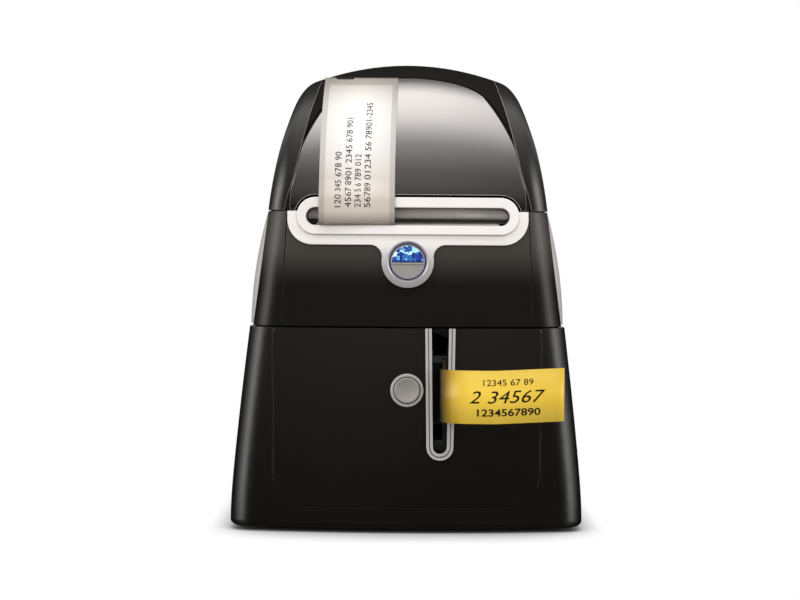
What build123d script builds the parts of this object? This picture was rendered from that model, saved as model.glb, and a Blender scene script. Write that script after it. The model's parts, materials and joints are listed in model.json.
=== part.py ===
from build123d import *
import math
import os

# Twin label printer: a roll-label printer under a hinged dome and a tape-label printer in a
# drawer below it. Millimetres, +Z up, front of the machine towards -Y, +X to its right as seen
# from the front. The origin is the middle of the rectangle that the machine stands on.

# Clearances between pieces
fit_gap = 0.2
seam_gap = 0.3
seat_gap = 0.08
running_gap = 0.05

# Base casing: half width, front and back at the floor and at the top edge
base_half = 66.6
base_top_half = 59.9
base_front = -82.0
base_top_front = -76.0
base_back = 94.0
base_top_back = 92.0
base_bottom = 1.5
base_top = 76.5
base_wall = 2.5
base_straight = 8.0
base_taper_power = 1.2
base_front_corner = 11.0
base_rear_corner = 12.0
base_edge_round = 2.2
front_bow_radius = 250.0

# Bottom plate, feet and case screws
plate_thick = 2.5
foot_radius = 6.0
foot_inset = 12.0
foot_front = 34.0
foot_rear = 34.0
foot_recess = 0.8
screw_front = -62.0
screw_back = 80.0
screw_radius = 1.5
screw_head_radius = 2.8
screw_head = 1.7
boss_half = 4.0
boss_top = 24.0

# Main board and the sockets in the back of the base
board_half = 50.0
board_front = 56.0
board_back = 88.0
board_bottom = 8.0
board_top = 9.6
usb_x = -20.0
usb_half = 6.0
usb_top = 20.4
jack_x = 18.0
jack_half = 4.6
jack_top = 20.6
jack_bore = 3.2
jack_pin = 1.1
socket_back = 93.2

# Upper casing with its front creases and the grey side panels
housing_bottom = 77.0
housing_top = 120.2
housing_half = 58.6
housing_top_half = 53.0
housing_top_front = -75.0
housing_back = 91.0
housing_top_back = 90.0
housing_wall = 2.2
fascia_half = 47.7
fascia_top_half = 45.4
side_panel_half = 61.0
side_panel_mid_half = 58.4
side_panel_top_half = 54.6
side_panel_front = -48.0
side_panel_back = 82.0

# Dome cover and its rear hinge; silhouette, window and cheek lines in the front view as x and
# the part of the dome's height above its bottom edge
cover_bottom = 120.6
cover_height = 180.8
cover_apex = 10.0
cover_half = 53.2
cover_wall = 2.2
cover_crown = 6.0
crown_half = 35.0
cover_ridge_round = 8.0
cover_silhouette = [(53.2, -0.0332), (51.1, 0.2159), (48.7, 0.4219), (46.0, 0.598), (43.6, 0.7375),
                    (40.0, 0.8522), (35.5, 0.9203)]
window_outline = [(49.5, -0.0432), (47.5, 0.0565), (45.0, 0.1894), (42.3, 0.3306), (38.6, 0.49),
                  (34.9, 0.6047), (29.3, 0.7375), (16.0, 0.8405), (0.0, 0.8688)]
cheek_line = [(46.4, -0.0432), (46.0, 0.0399), (43.4, 0.1894), (41.4, 0.3389), (39.5, 0.4884),
              (37.2, 0.6545), (35.3, 0.7874), (34.3, 0.8704), (34.0, 1.1528)]
hinge_y = 91.0
knuckle_radius = 3.0
hinge_pin_radius = 1.2
hinge_spacing = 30.0
knuckle_width = 12.0
side_knuckle_width = 6.0

# Silver bezel with the label exit, the tear bar and the feed button
bezel_half = 45.3
bezel_bottom = 107.6
bezel_corner = 9.5
bezel_lift = 1.0
ring_half = 41.7
ring_bottom = 111.5
ring_top = 125.4
ring_lift = 2.4
ring_back = -70.5
slot_half = 38.2
slot_bottom = 114.9
slot_top = 121.6
cover_ring_gap = 1.0
tooth_pitch = 0.9
button_z = 101.3
lobe_radius = 9.8
lobe_blend = 4.5
dish_radius = 7.6
feed_button_radius = 6.4
feed_button_gap = 0.2
feed_button_travel = 1.2

# Drawer with its front panel, slot trim and eject button
drawer_half = 51.0
drawer_bottom_half = 50.0
drawer_bottom = 9.7
drawer_corner = 13.0
panel_thick = 3.0
tray_half = 47.0
tray_front = -70.0
tray_back = 45.0
tray_bottom = 12.0
tray_top = 70.0
tray_wall = 2.0
tray_corner = 6.0
rail_seat = 7.0
rail_lip = 4.0
rail_rise = 6.0
rail_front = -64.0
catch_half = 8.0
slot_x = 12.4
trim_half = 5.65
trim_bottom_half = 4.95
trim_bottom = 27.3
bead_width = 0.95
trim_width = 2.35
trim_lift = 0.9
eject_z = 53.3
eject_ring_radius = 6.2
eject_radius = 4.8
eject_travel = 1.5

# Tape printer inside the drawer; reels as (x, y, pin radius, outer radius)
cassette_left = -40.0
cassette_right = 34.0
cassette_front = -48.0
cassette_back = 8.0
cassette_bottom = 38.5
cassette_top = 65.0
cassette_wall = 1.2
reels = [(-16.0, -18.0, 3.0, 21.0), (19.0, -16.0, 3.0, 9.0)]
roller_y = -56.0
tape_roller_radius = 4.3
tape_motor_radius = 7.0
cutter_stroke = 3.0
tape_room = 2.6
tape_bottom = 41.9
tape_width = 19.6
tape_thick = 0.2
tape_bend_y = -80.5
tape_bend = 13.0
tape_end_x = 57.8
tape_end_y = -93.0
tape_sag = 2.5
tape_end_rise = 1.2

# Platen, gears and motor of the roll-label printer
chassis_thick = 1.5
platen_y = -54.0
platen_z = 108.5
platen_radius = 7.0
platen_half = 41.5
shaft_radius = 2.0
frame_inner = 42.4
frame_thick = 1.2
frame_front = -62.0
frame_back = -30.0
frame_top = 127.0
bush_radius = 4.0
bush_flange = 5.2
axle_radius = 1.5
module = 0.7
pressure_angle = 25.0
platen_teeth = 28
idler_small_teeth = 12
idler_large_teeth = 26
pinion_teeth = 10
gear_left = 44.6
gear_step = 2.8
gear_width = 2.4
tooth_slack = 0.05
idler_angle = -50.0
pinion_angle = -20.0
pinion_boss = 4.5
motor_radius = 12.0
motor_left = 22.0

# Thermal head and its release lever
head_pivot_y = -40.0
head_pivot_z = 122.0
pivot_radius = 1.5
head_clear = 0.15
bracket_half = 40.0
lever_left = 44.2
lever_thick = 2.6
lever_top = 134.0
lever_width = 7.0
lever_tab = 2.0

# Roll bay: cradles, spool, roll and the two sliding guides
cradle_gap = 3.8
cradle_thick = 3.0
cradle_floor = 2.0
cradle_width = 28.0
cradle_rise = 8.0
bay_front = -12.0
spool_drop = 3.5
bay_room = 9.1
roll_inset = 4.0
core_radius = 12.5
journal_radius = 4.0
spool_guide_inset = 6.0
spool_guide_thick = 2.0
spool_hub_radius = 16.0
spool_hub_width = 10.0
guide_depth = 8.3
guide_top = 113.0
guide_thick = 3.0
guide_travel = 30.0
rail_inset = 4.2
rail_half = 2.0
rail_height = 16.0

# Label strip
liner_left = -33.4
liner_right = -5.0
liner_thick = 0.2
strip_clear = 0.6
strip_end_y = -35.0
slot_lip_y = -78.3


def bow(x):
    # How far the rounded front has fallen back at a distance x from the middle
    return x * x / (2 * front_bow_radius)


def plan(half, front, back, front_corner, rear_corner):
    # Plan outline of a casing level: bowed front, straight sides and back, rounded corners
    front_left = (-half, front + bow(half))
    front_right = (half, front + bow(half))
    wire = Wire([
        ThreePointArc(front_left, (0, front), front_right),
        Line(front_right, (half, back)),
        Line((half, back), (-half, back)),
        Line((-half, back), front_left),
    ])
    face = Face(wire)
    face = face.fillet_2d(front_corner, face.vertices().sort_by(Axis.Y)[:2])
    rear = [vertex for vertex in face.vertices() if vertex.Y > back - 0.001]
    return face.fillet_2d(rear_corner, rear)


def base_half_at(z):
    rise = max(0.0, (z - base_straight) / (base_top - base_straight))
    return base_half - (base_half - base_top_half) * rise ** base_taper_power


def base_front_at(z):
    rise = max(0.0, z / base_top)
    return base_front + (base_top_front - base_front) * rise ** 1.5


def base_level(z, grow):
    half = base_half_at(z) + grow
    back = base_back + (base_top_back - base_back) * z / base_top + grow
    front_corner = base_front_corner + grow
    rear_corner = base_rear_corner + grow
    face = plan(half, base_front_at(z) - grow, back, front_corner, rear_corner)
    return Plane.XY.offset(z) * face


def base_body(low, high, grow=0.0):
    # The base as one solid between two heights, larger or smaller all round by grow
    inside = [z for z in (18.0, 34.0, 50.0, 64.0) if low + 1 < z < high - 1]
    return loft([base_level(z, grow) for z in [low] + inside + [high]])


def housing_part(z):
    return (z - housing_bottom) / (housing_top - housing_bottom)


def housing_level(z, grow):
    part = housing_part(z)
    half = housing_half + (housing_top_half - housing_half) * part + grow
    front = base_top_front + (housing_top_front - base_top_front) * part - grow
    back = housing_back + (housing_top_back - housing_back) * part + grow
    face = plan(half, front, back, base_front_corner + grow, base_rear_corner + grow)
    return Plane.XY.offset(z) * face


def housing_body(low, high, grow=0.0):
    return loft([housing_level(z, grow) for z in (low, (low + high) / 2, high)])


def front_prism(face, back=0.0, front=-110.0):
    # An outline drawn in the front view (x to the right, z up) run through the machine in y
    plane = Plane(origin=(0, back, 0), x_dir=(1, 0, 0), z_dir=(0, -1, 0))
    return extrude(plane * face, amount=back - front)


def polygon(points):
    # A face with its normal up, whichever way round the points run
    face = Face(Wire(Polyline(*points, close=True)))
    return face if face.normal_at().Z > 0 else -face


def u_outline(x, top_half, bottom_half, top, bottom, corner, extra=0.0):
    # A slot outline open at the top, with its lower corners rounded, its sides run on by extra
    top_half += (top_half - bottom_half) * extra / (top - bottom)
    top += extra
    face = polygon([(x - top_half, top), (x + top_half, top),
                    (x + bottom_half, bottom), (x - bottom_half, bottom)])
    low = face.vertices().sort_by(Axis.Y)[:2]
    return face.fillet_2d(corner, low)


def stadium(half, low, high):
    face = polygon([(-half, low), (half, low), (half, high), (-half, high)])
    return face.fillet_2d((high - low) / 2 * 0.999, face.vertices())


def block(x0, x1, y0, y1, z0, z1):
    return Pos((x0 + x1) / 2, (y0 + y1) / 2, (z0 + z1) / 2) * Box(x1 - x0, y1 - y0, z1 - z0)


def rod_x(y, z, radius, x0, x1):
    plane = Plane(origin=(x0, y, z), x_dir=(0, 1, 0), z_dir=(1, 0, 0))
    return extrude(plane * Circle(radius), amount=x1 - x0)


def rod_y(x, z, radius, y0, y1):
    plane = Plane(origin=(x, y1, z), x_dir=(1, 0, 0), z_dir=(0, -1, 0))
    return extrude(plane * Circle(radius), amount=y1 - y0)


def rod_z(x, y, radius, z0, z1):
    return extrude(Pos(x, y, z0) * Circle(radius), amount=z1 - z0)


def side_prism(face, x0, x1):
    # An outline drawn in the side view (y along, z up) run across the machine in x
    plane = Plane(origin=(x0, 0, 0), x_dir=(0, 1, 0), z_dir=(1, 0, 0))
    return extrude(plane * face, amount=x1 - x0)


def ribbon(points, thick):
    # A thin band along a line: the line set off to both sides by half the thickness
    left = []
    right = []
    for index, (a, b) in enumerate(points):
        a0, b0 = points[max(index - 1, 0)]
        a1, b1 = points[min(index + 1, len(points) - 1)]
        length = math.hypot(a1 - a0, b1 - b0)
        normal_a = -(b1 - b0) / length * thick / 2
        normal_b = (a1 - a0) / length * thick / 2
        left.append((a + normal_a, b + normal_b))
        right.append((a - normal_a, b - normal_b))
    return polygon(left + right[::-1])


def arc_points(a, b, radius, start, stop, count):
    turns = [math.radians(start + (stop - start) * step / count) for step in range(count + 1)]
    return [(a + radius * math.cos(turn), b + radius * math.sin(turn)) for turn in turns]


def save(shape, node):
    solids = shape.solids()
    result = solids[0] if len(solids) == 1 else Compound(children=list(solids))
    export_step(result, "parts/" + node + ".step")


os.makedirs("parts", exist_ok=True)

# Base casing: a shell with a roof, open below and at the front for the drawer
roof_bottom = base_top - base_wall
plate_top = base_bottom + plate_thick
base_outer = base_body(base_bottom, base_top)
base_outer = fillet(base_outer.edges().group_by(Axis.Z)[0], base_edge_round)
base_inner = base_body(base_bottom - 1, roof_bottom, -base_wall)
screw_x = (tray_half + rail_lip + base_half - base_wall) / 2
screw_places = [(side * screw_x, y) for side in (-1, 1) for y in (screw_front, screw_back)]
bosses = Part()
for x, y in screw_places:
    low_x, high_x = sorted((x - math.copysign(boss_half, x), math.copysign(base_half, x)))
    bosses += block(low_x, high_x, y - boss_half, y + boss_half, plate_top + fit_gap, boss_top)
drawer_cut = front_prism(
    u_outline(0, drawer_half, drawer_bottom_half, base_top + 5, drawer_bottom, drawer_corner),
    back=tray_front + 2)
base_shell = base_outer - base_inner
base_shell += bosses & base_body(plate_top + fit_gap, boss_top + 1, -base_wall / 2)
for x, y in screw_places:
    base_shell -= rod_z(x, y, screw_radius, 0, boss_top - 4)
base_shell -= drawer_cut
for x, half, top in ((usb_x, usb_half, usb_top), (jack_x, jack_half, jack_top)):
    base_shell -= block(x - half, x + half, board_back, base_back + 5, board_top, top)
save(base_shell, "base_shell")

# Bottom plate with its four board posts, the feet and the case screws
base_plate = base_body(base_bottom + 0.1, plate_top, -base_wall - fit_gap)
for x in (-board_half + 5, board_half - 5):
    for y in (board_front + 5, board_back - 5):
        base_plate += rod_z(x, y, 3.0, plate_top - 0.5, board_bottom)
for x, y in screw_places:
    base_plate -= rod_z(x, y, screw_radius + 0.1, 0, plate_top + 1)
    base_plate -= rod_z(x, y, screw_head_radius + fit_gap, 0, base_bottom + screw_head)
foot_places = [(side * (base_half - foot_inset), y)
               for side in (-1, 1) for y in (base_front + foot_front, base_back - foot_rear)]
feet = Part()
for x, y in foot_places:
    base_plate -= rod_z(x, y, foot_radius, 0, base_bottom + foot_recess)
    feet += rod_z(x, y, foot_radius, 0, base_bottom + foot_recess)
save(base_plate, "base_plate")
save(feet, "rubber_feet")

screws = Part()
for x, y in screw_places:
    screws += rod_z(x, y, screw_head_radius, base_bottom + 0.4, base_bottom + screw_head)
    screws += rod_z(x, y, screw_radius, base_bottom + screw_head, boss_top - 4)
save(screws, "case_screws")

# Main board with its two sockets at the back of the base
board = block(-board_half, board_half, board_front, board_back, board_bottom, board_top)
chips = block(-8, 8, board_front + 8, board_front + 24, board_top, board_top + 1.6)
chips += block(24, 34, board_front + 12, board_front + 20, board_top, board_top + 6)
chips += block(-42, -36, board_front + 10, board_front + 30, board_top, board_top + 7)
save(board + chips, "main_board")
usb = block(usb_x - usb_half + fit_gap, usb_x + usb_half - fit_gap, board_back - 14, socket_back,
            board_top, usb_top - fit_gap)
usb -= block(usb_x - usb_half + 1.8, usb_x + usb_half - 1.8, socket_back - 9, socket_back + 1,
             board_top + 1.6, usb_top - 1.8)
usb += block(usb_x - usb_half + 3, usb_x + usb_half - 3, socket_back - 9.5, socket_back - 1,
             board_top + 4, board_top + 7)
save(usb, "usb_socket")
jack = block(jack_x - jack_half + fit_gap, jack_x + jack_half - fit_gap, board_back - 12,
             socket_back, board_top, jack_top - fit_gap)
jack_z = (board_top + jack_top) / 2
jack -= rod_y(jack_x, jack_z, jack_bore, socket_back - 9, socket_back + 1)
jack += rod_y(jack_x, jack_z, jack_pin, socket_back - 9.5, socket_back - 1)
save(jack, "power_jack")

# Rails that the drawer runs on, and the magnet catch behind it
rail_top = tray_bottom - seam_gap
rails = Part()
for side in (-1, 1):
    inner = side * (tray_half - rail_seat)
    outer = side * (tray_half + seam_gap + rail_lip)
    lip = side * (tray_half + seam_gap)
    rails += block(min(inner, outer), max(inner, outer), rail_front, tray_back, plate_top, rail_top)
    rails += block(min(lip, outer), max(lip, outer), rail_front, tray_back, plate_top,
                   rail_top + rail_rise)
save(rails, "drawer_rails")
catch = block(-catch_half, catch_half, tray_back + seam_gap, tray_back + seam_gap + 8, plate_top,
              plate_top + 6)
catch += block(-catch_half / 2, catch_half / 2, tray_back + seam_gap, tray_back + seam_gap + 4,
               plate_top + 5, tray_bottom + 22)
save(catch, "tray_catch")

# Drawer front: a panel of the base's own surface with the tape slot and the eject button
panel_outline = u_outline(0, drawer_half - seam_gap, drawer_bottom_half - seam_gap,
                          base_top - 0.2, drawer_bottom + seam_gap, drawer_corner - seam_gap)
panel_prism = front_prism(panel_outline, back=tray_front - 1)
panel_shell = base_body(drawer_bottom - 2, base_top) - base_body(
    drawer_bottom - 3, base_top + 1, -panel_thick)
drawer_front = panel_shell & panel_prism
post_half = drawer_bottom_half - 12
posts = Part()
for x in (-post_half, post_half):
    for z in (drawer_bottom + 14, tray_top - 8):
        posts += rod_y(x, z, 3.0, base_front - 2, tray_front)
drawer_front += posts & base_body(drawer_bottom - 2, base_top, -panel_thick / 2)


def trim_outline(inset, extra=0.0):
    top_half = trim_half - inset
    low_half = trim_bottom_half - inset
    return u_outline(slot_x, top_half, low_half, base_top - 0.2, trim_bottom + inset,
                     low_half - 0.02, extra)


drawer_front -= front_prism(trim_outline(-0.05, 4), back=tray_front - 3)
drawer_front -= rod_y(0, eject_z, eject_ring_radius + 0.05, base_front - 5, tray_front - 3)
save(drawer_front, "drawer_front")


def base_skin(lift, depth):
    # A layer over the front of the base, from lift in front of its surface to depth behind it
    return base_body(base_bottom, base_top, lift) - base_body(base_bottom - 1, base_top + 1, -depth)


trim_prism = front_prism(trim_outline(0) - trim_outline(trim_width, 4), back=tray_front - 3)
outer_bead = front_prism(trim_outline(0) - trim_outline(bead_width, 4), back=tray_front - 3)
inner_bead = front_prism(
    trim_outline(trim_width - bead_width) - trim_outline(trim_width, 4), back=tray_front - 3)
raised = base_skin(trim_lift, 1.0)
slot_trim = trim_prism & base_skin(0.2, panel_thick + 0.5)
slot_trim += outer_bead & raised
slot_trim += inner_bead & raised
save(slot_trim, "slot_trim")

eject_face = base_front_at(eject_z)
ring_back_y = eject_face + panel_thick
eject_ring = rod_y(0, eject_z, eject_ring_radius, eject_face - trim_lift, ring_back_y)
eject_ring -= rod_y(0, eject_z, eject_radius + fit_gap, base_front - 5, tray_front)
front_rim = [edge for edge in eject_ring.edges().group_by(Axis.Y)[0]]
eject_ring = fillet(front_rim, 0.35)
save(eject_ring, "eject_button_ring")
cap_front = eject_face - trim_lift - 0.6
eject_cap = rod_y(0, eject_z, eject_radius, cap_front, ring_back_y + seam_gap + 0.5)
eject_cap = fillet(eject_cap.edges().group_by(Axis.Y)[0], 0.8)
flange_back = ring_back_y + seam_gap + 1.2
eject_cap += rod_y(0, eject_z, eject_ring_radius, ring_back_y + seam_gap, flange_back)
save(eject_cap, "eject_button_cap")
switch_front = flange_back + eject_travel + seam_gap
eject_switch = block(-5, 5, switch_front, tray_front, eject_z - 5, eject_z + 5)
save(eject_switch, "eject_switch")

# Drawer tray: an open box with two seats for the cassette
tray = block(-tray_half, tray_half, tray_front, tray_back, tray_bottom, tray_top)
tray = fillet(tray.edges().filter_by(Axis.Y).group_by(Axis.Z)[0], tray_corner)
tray_room = block(-tray_half + tray_wall, tray_half - tray_wall, tray_front + tray_wall,
                  tray_back - tray_wall, tray_bottom + tray_wall, tray_top + 5)
tray -= fillet(tray_room.edges().filter_by(Axis.Y).group_by(Axis.Z)[0], tray_corner - tray_wall)
tray -= block(slot_x - tape_room, slot_x + tape_room, tray_front - 1, tray_front + tray_wall + 1,
              trim_bottom, tray_top + 1)
tray_floor = tray_bottom + tray_wall
for x in (cassette_left + 2, cassette_right - 5):
    tray += block(x, x + 3, cassette_front, cassette_back, tray_floor - 0.5, cassette_bottom)
save(tray, "drawer_tray")

# Tape cassette with its two reels
cassette = block(cassette_left, cassette_right, cassette_front, cassette_back, cassette_bottom,
                 cassette_top)
cassette = fillet(cassette.edges().filter_by(Axis.Z), 3.0)
cavity = block(cassette_left + cassette_wall, cassette_right - cassette_wall,
               cassette_front + cassette_wall, cassette_back - cassette_wall,
               cassette_bottom + cassette_wall, cassette_top - cassette_wall)
cassette -= fillet(cavity.edges().filter_by(Axis.Z), 2.0)
cassette -= block(slot_x - 1, slot_x + 1, cassette_front - 1, cassette_front + cassette_wall + 1,
                  tape_bottom - 0.5, tape_bottom + tape_width + 0.5)
pin_low = cassette_bottom + cassette_wall
pin_high = cassette_top - cassette_wall
for x, y, pin, outer in reels:
    cassette += rod_z(x, y, pin, pin_low - 0.3, pin_high + 0.3)
save(cassette, "tape_cassette")
for node, (x, y, pin, outer) in zip(("tape_reel", "ribbon_reel"), reels):
    reel = rod_z(x, y, outer, tape_bottom, tape_bottom + tape_width)
    reel += rod_z(x, y, pin + 3, pin_low + fit_gap, pin_high - fit_gap)
    reel -= rod_z(x, y, pin + running_gap, pin_low - 1, pin_high + 1)
    save(reel, node)

# Tape drive: motor under the tape roller, print head against it, cutter in front
motor_top = cassette_bottom - 4
roller_x = slot_x + tape_thick / 2 + 0.1 + tape_roller_radius
tape_motor = rod_z(roller_x, roller_y, tape_motor_radius, tray_floor, motor_top)
tape_motor -= rod_z(roller_x, roller_y, 1.5 + running_gap, motor_top - 8, motor_top + 1)
save(tape_motor, "tape_motor")
tape_roller = rod_z(roller_x, roller_y, 1.5, motor_top - 7.5, tape_bottom + tape_width + 4)
tape_roller += rod_z(roller_x, roller_y, tape_roller_radius, tape_bottom - 1,
                     tape_bottom + tape_width + 1)
save(tape_roller, "tape_roller")
head_face = slot_x - tape_thick / 2 - 0.15
head = block(head_face - 3, head_face, roller_y - 4, roller_y + 4, tape_bottom - 1,
             tape_bottom + tape_width + 1)
head += block(head_face - 6, head_face - 2.5, roller_y - 5, roller_y + 5, tray_floor,
              tape_bottom + tape_width + 2)
save(head, "tape_print_head")
cutter_back = roller_y - tape_motor_radius - 0.3
cutter_front = tray_front + tray_wall + 0.3
cutter_mid = (cutter_back + cutter_front) / 2
blade_bottom = tape_bottom - 8
frame = block(slot_x - 12, slot_x + 5, cutter_front, cutter_back, blade_bottom - 4, blade_bottom)
frame += block(slot_x + 1, slot_x + 5, cutter_front, cutter_back, tray_floor,
               tape_bottom + tape_width + 3)
frame += block(slot_x - 12, slot_x - 9, cutter_front, cutter_back, tray_floor,
               tape_bottom + tape_width + 3)
save(frame, "cutter_frame")
blade = block(slot_x - 8.5, slot_x - tape_thick / 2 - 0.4 - cutter_stroke, cutter_mid - 0.4,
              cutter_mid + 0.4, blade_bottom + fit_gap, tape_bottom + tape_width + 2)
save(blade, "cutter_blade")


# Tape: straight out of the slot, then one loose bend to the right in front of the drawer
tape_line = [(slot_x, cassette_front - 0.3), (slot_x, tape_bend_y)]
tape_line += arc_points(slot_x + tape_bend, tape_bend_y, tape_bend, 180, 262, 14)[1:]
last_x, last_y = tape_line[-1]
for step in range(1, 9):
    along = step / 8
    tape_line.append((last_x + (tape_end_x - last_x) * along,
                      last_y + (tape_end_y - last_y) * along + tape_sag * along * (along - 1)))
tape = extrude(Pos(0, 0, tape_bottom - 3) * ribbon(tape_line, tape_thick), amount=tape_width + 8)
lift = tape_end_rise
tape_top = tape_bottom + tape_width
tape &= front_prism(polygon([
    (slot_x - 3, tape_bottom), (slot_x + 20, tape_bottom), (tape_end_x + 2, tape_bottom + lift),
    (tape_end_x + 2, tape_top + lift), (slot_x + 20, tape_top), (slot_x - 3, tape_top)]),
    back=cassette_front + 5)
save(tape, "tape_strip")

# Upper casing: an open tube with a separate fascia between its front creases
housing_inner = housing_body(housing_bottom - 1, housing_top + 1, -housing_wall)
housing_tube = housing_body(housing_bottom, housing_top) - housing_inner
fascia_back = base_top_front + 10.0


def fascia_outline(grow):
    return polygon([(-fascia_half - grow, housing_bottom - 1 - grow),
                    (fascia_half + grow, housing_bottom - 1 - grow),
                    (fascia_top_half + grow, housing_top + 1 + grow),
                    (-fascia_top_half - grow, housing_top + 1 + grow)])


hinge_axis = (hinge_y, cover_bottom)
hinge_places = [side * hinge_spacing for side in (-1, 1)]


def side_knuckles(radius, extra):
    result = Part()
    for x in hinge_places:
        for side in (-1, 1):
            near = x + side * (knuckle_width / 2 + seam_gap - extra)
            far = x + side * (knuckle_width / 2 + seam_gap + side_knuckle_width + extra)
            result += rod_x(*hinge_axis, radius, min(near, far), max(near, far))
    return result


def middle_knuckles(radius, extra):
    result = Part()
    for x in hinge_places:
        result += rod_x(*hinge_axis, radius, x - knuckle_width / 2 - extra,
                        x + knuckle_width / 2 + extra)
    return result


knuckle_room = knuckle_radius + seam_gap
pin_bore = rod_x(*hinge_axis, hinge_pin_radius + running_gap, -base_half, base_half)
housing = housing_tube - front_prism(fascia_outline(seam_gap / 2), back=fascia_back)
housing -= middle_knuckles(knuckle_room, seam_gap)
housing += side_knuckles(knuckle_radius, 0)
housing -= pin_bore
save(housing, "housing_shell")
pins = Part()
for x in hinge_places:
    reach = knuckle_width / 2 + seam_gap + side_knuckle_width
    pins += rod_x(*hinge_axis, hinge_pin_radius, x - reach - 0.5, x + reach + 0.5)
save(pins, "hinge_pins")

# Grey side panels standing proud of the upper casing


def panel_level(z, half):
    face = plan(half, side_panel_front, side_panel_back, 9.0, 14.0)
    return Plane.XY.offset(z) * face


panel_middle = housing_bottom + (housing_top - housing_bottom) * 0.62
panel_body = loft([panel_level(housing_bottom, side_panel_half),
                   panel_level(panel_middle, side_panel_mid_half),
                   panel_level(housing_top, side_panel_top_half)])
panel_body -= housing_body(housing_bottom - 1, housing_top + 1, fit_gap / 2)
for node, side in (("side_panel_left", -1), ("side_panel_right", 1)):
    half_space = block(min(0, side * 90), max(0, side * 90), -100, 100, 0, 200)
    save(panel_body & half_space, node)

# Dome cover: front-to-back profiles run from side to side, trimmed to the front silhouette


def dome_z(part):
    return cover_bottom + part * (cover_height - cover_bottom)


def crown_at(x):
    return cover_height - cover_crown * (x / crown_half) ** 2


def dome_profile(x, inset):
    front = housing_top_front + bow(x) + inset
    back = housing_top_back - bow(x) / 2 - inset
    top = crown_at(x) - inset
    low = cover_bottom - (1.0 if inset else 0.0)
    rise = top - low
    wire = Wire([
        EllipticalCenterArc((cover_apex, low), cover_apex - front, rise, start_angle=90, arc_size=90),
        Line((front, low), (back, low)),
        EllipticalCenterArc((cover_apex, low), back - cover_apex, rise, start_angle=0, arc_size=90),
    ])
    return Plane(origin=(x, 0, 0), x_dir=(0, 1, 0), z_dir=(1, 0, 0)) * Face(wire)


def silhouette(inset):
    right = [(half - inset, dome_z(part)) for half, part in cover_silhouette]
    left = [(-half, z) for half, z in reversed(right)]
    high = cover_height + 10
    top_half = right[-1][0]
    wire = Wire([
        Spline(*right), Line(right[-1], (top_half, high)), Line((top_half, high), (-top_half, high)),
        Line((-top_half, high), left[0]), Spline(*left), Line(left[-1], right[0]),
    ])
    return front_prism(Face(wire), back=110)


def dome(inset):
    body = loft([dome_profile(x, inset) for x in (-60.0, -30.0, 0.0, 30.0, 60.0)])
    outline = plan(cover_half - inset, housing_top_front - 0.5 + inset,
                   housing_top_back + 0.5 - inset, base_front_corner - inset,
                   base_rear_corner - inset)
    body &= silhouette(inset)
    return body & extrude(Plane.XY.offset(cover_bottom - 2) * outline, amount=80)


cover_outer = dome(0)
ridges = [edge for edge in cover_outer.edges()
          if edge.bounding_box().min.Z > cover_bottom + 0.5 and abs((edge @ 0.5).X) > 20]
cover_outer = fillet(ridges, min(cover_ridge_round, (cover_height - cover_bottom) / 7.5))
cover_all = cover_outer - dome(cover_wall)
ring_room = stadium(ring_half + cover_ring_gap, ring_bottom - cover_ring_gap,
                    ring_top + cover_ring_gap)
cover_all -= front_prism(ring_room, back=base_top_front + 20)


def window_face(grow):
    points = [(x + grow, dome_z(part) + grow) for x, part in window_outline[:-1]]
    points.append((0.0, dome_z(window_outline[-1][1]) + grow))
    right = points
    left = [(-x, z) for x, z in reversed(right)]
    wire = Wire([Spline(*(right + left[1:])), Line(left[-1], right[0])])
    face = Face(wire)
    return face if face.normal_at().Z > 0 else -face


def cheek_face(grow):
    line = [(x - grow, dome_z(part)) for x, part in cheek_line]
    wire = Wire([Spline(*line), Line(line[-1], (80, line[-1][1])), Line((80, line[-1][1]), (80, 110)),
                 Line((80, 110), (line[0][0], 110)), Line((line[0][0], 110), line[0])])
    face = Face(wire)
    return face if face.normal_at().Z > 0 else -face


def both_sides(solid):
    return solid + mirror(solid, Plane.YZ)


cheek_prism = front_prism(cheek_face(0), back=110)
cheek_room = both_sides(front_prism(cheek_face(seam_gap), back=110))
window_prism = front_prism(window_face(0), back=strip_end_y + 15)
window_room = front_prism(window_face(seam_gap), back=strip_end_y + 15.2)
cheek_right = cover_all & cheek_prism
save(cheek_right, "cover_cheek_right")
save(mirror(cheek_right, Plane.YZ), "cover_cheek_left")
window = (cover_all - cheek_room) & window_prism
save(window, "cover_window")
shell = cover_all - cheek_room - window_room
shell -= side_knuckles(knuckle_room, seam_gap)
shell += middle_knuckles(knuckle_radius, 0)
shell -= pin_bore
save(shell, "cover_shell")

# Silver bezel: a plate on the fascia, a raised ring round the label exit, a round button lobe


def front_slab(front, back, low, high):
    # A slab across the machine whose front and back faces bow like the casing
    reach = 60.0
    wire = Wire([
        ThreePointArc((-reach, front + bow(reach)), (0, front), (reach, front + bow(reach))),
        Line((reach, front + bow(reach)), (reach, back + bow(reach))),
        ThreePointArc((reach, back + bow(reach)), (0, back), (-reach, back + bow(reach))),
        Line((-reach, back + bow(reach)), (-reach, front + bow(reach))),
    ])
    return extrude(Pos(0, 0, low) * Face(wire), amount=high - low)


def housing_front_at(z):
    return base_top_front + (housing_top_front - base_top_front) * housing_part(z)


def plate_outline(grow):
    low = bezel_bottom - grow
    half = bezel_half + grow
    top = housing_top
    radius = lobe_radius + grow
    blend = lobe_blend - grow
    plate = polygon([(-half, low), (half, low), (half, top), (-half, top)])
    plate = plate.fillet_2d(bezel_corner + grow, plate.vertices().sort_by(Axis.Y)[:2])
    offset = low - blend - button_z
    side = math.sqrt((radius + blend) ** 2 - offset ** 2)
    scale = radius / (radius + blend)
    fill = polygon([(-side, low + 1), (-side, low), (-side * scale, button_z + offset * scale),
                    (side * scale, button_z + offset * scale), (side, low), (side, low + 1)])
    for x in (-side, side):
        fill -= Pos(x, low - blend) * Circle(blend)
    return plate + Pos(0, button_z) * Circle(radius) + fill


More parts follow.
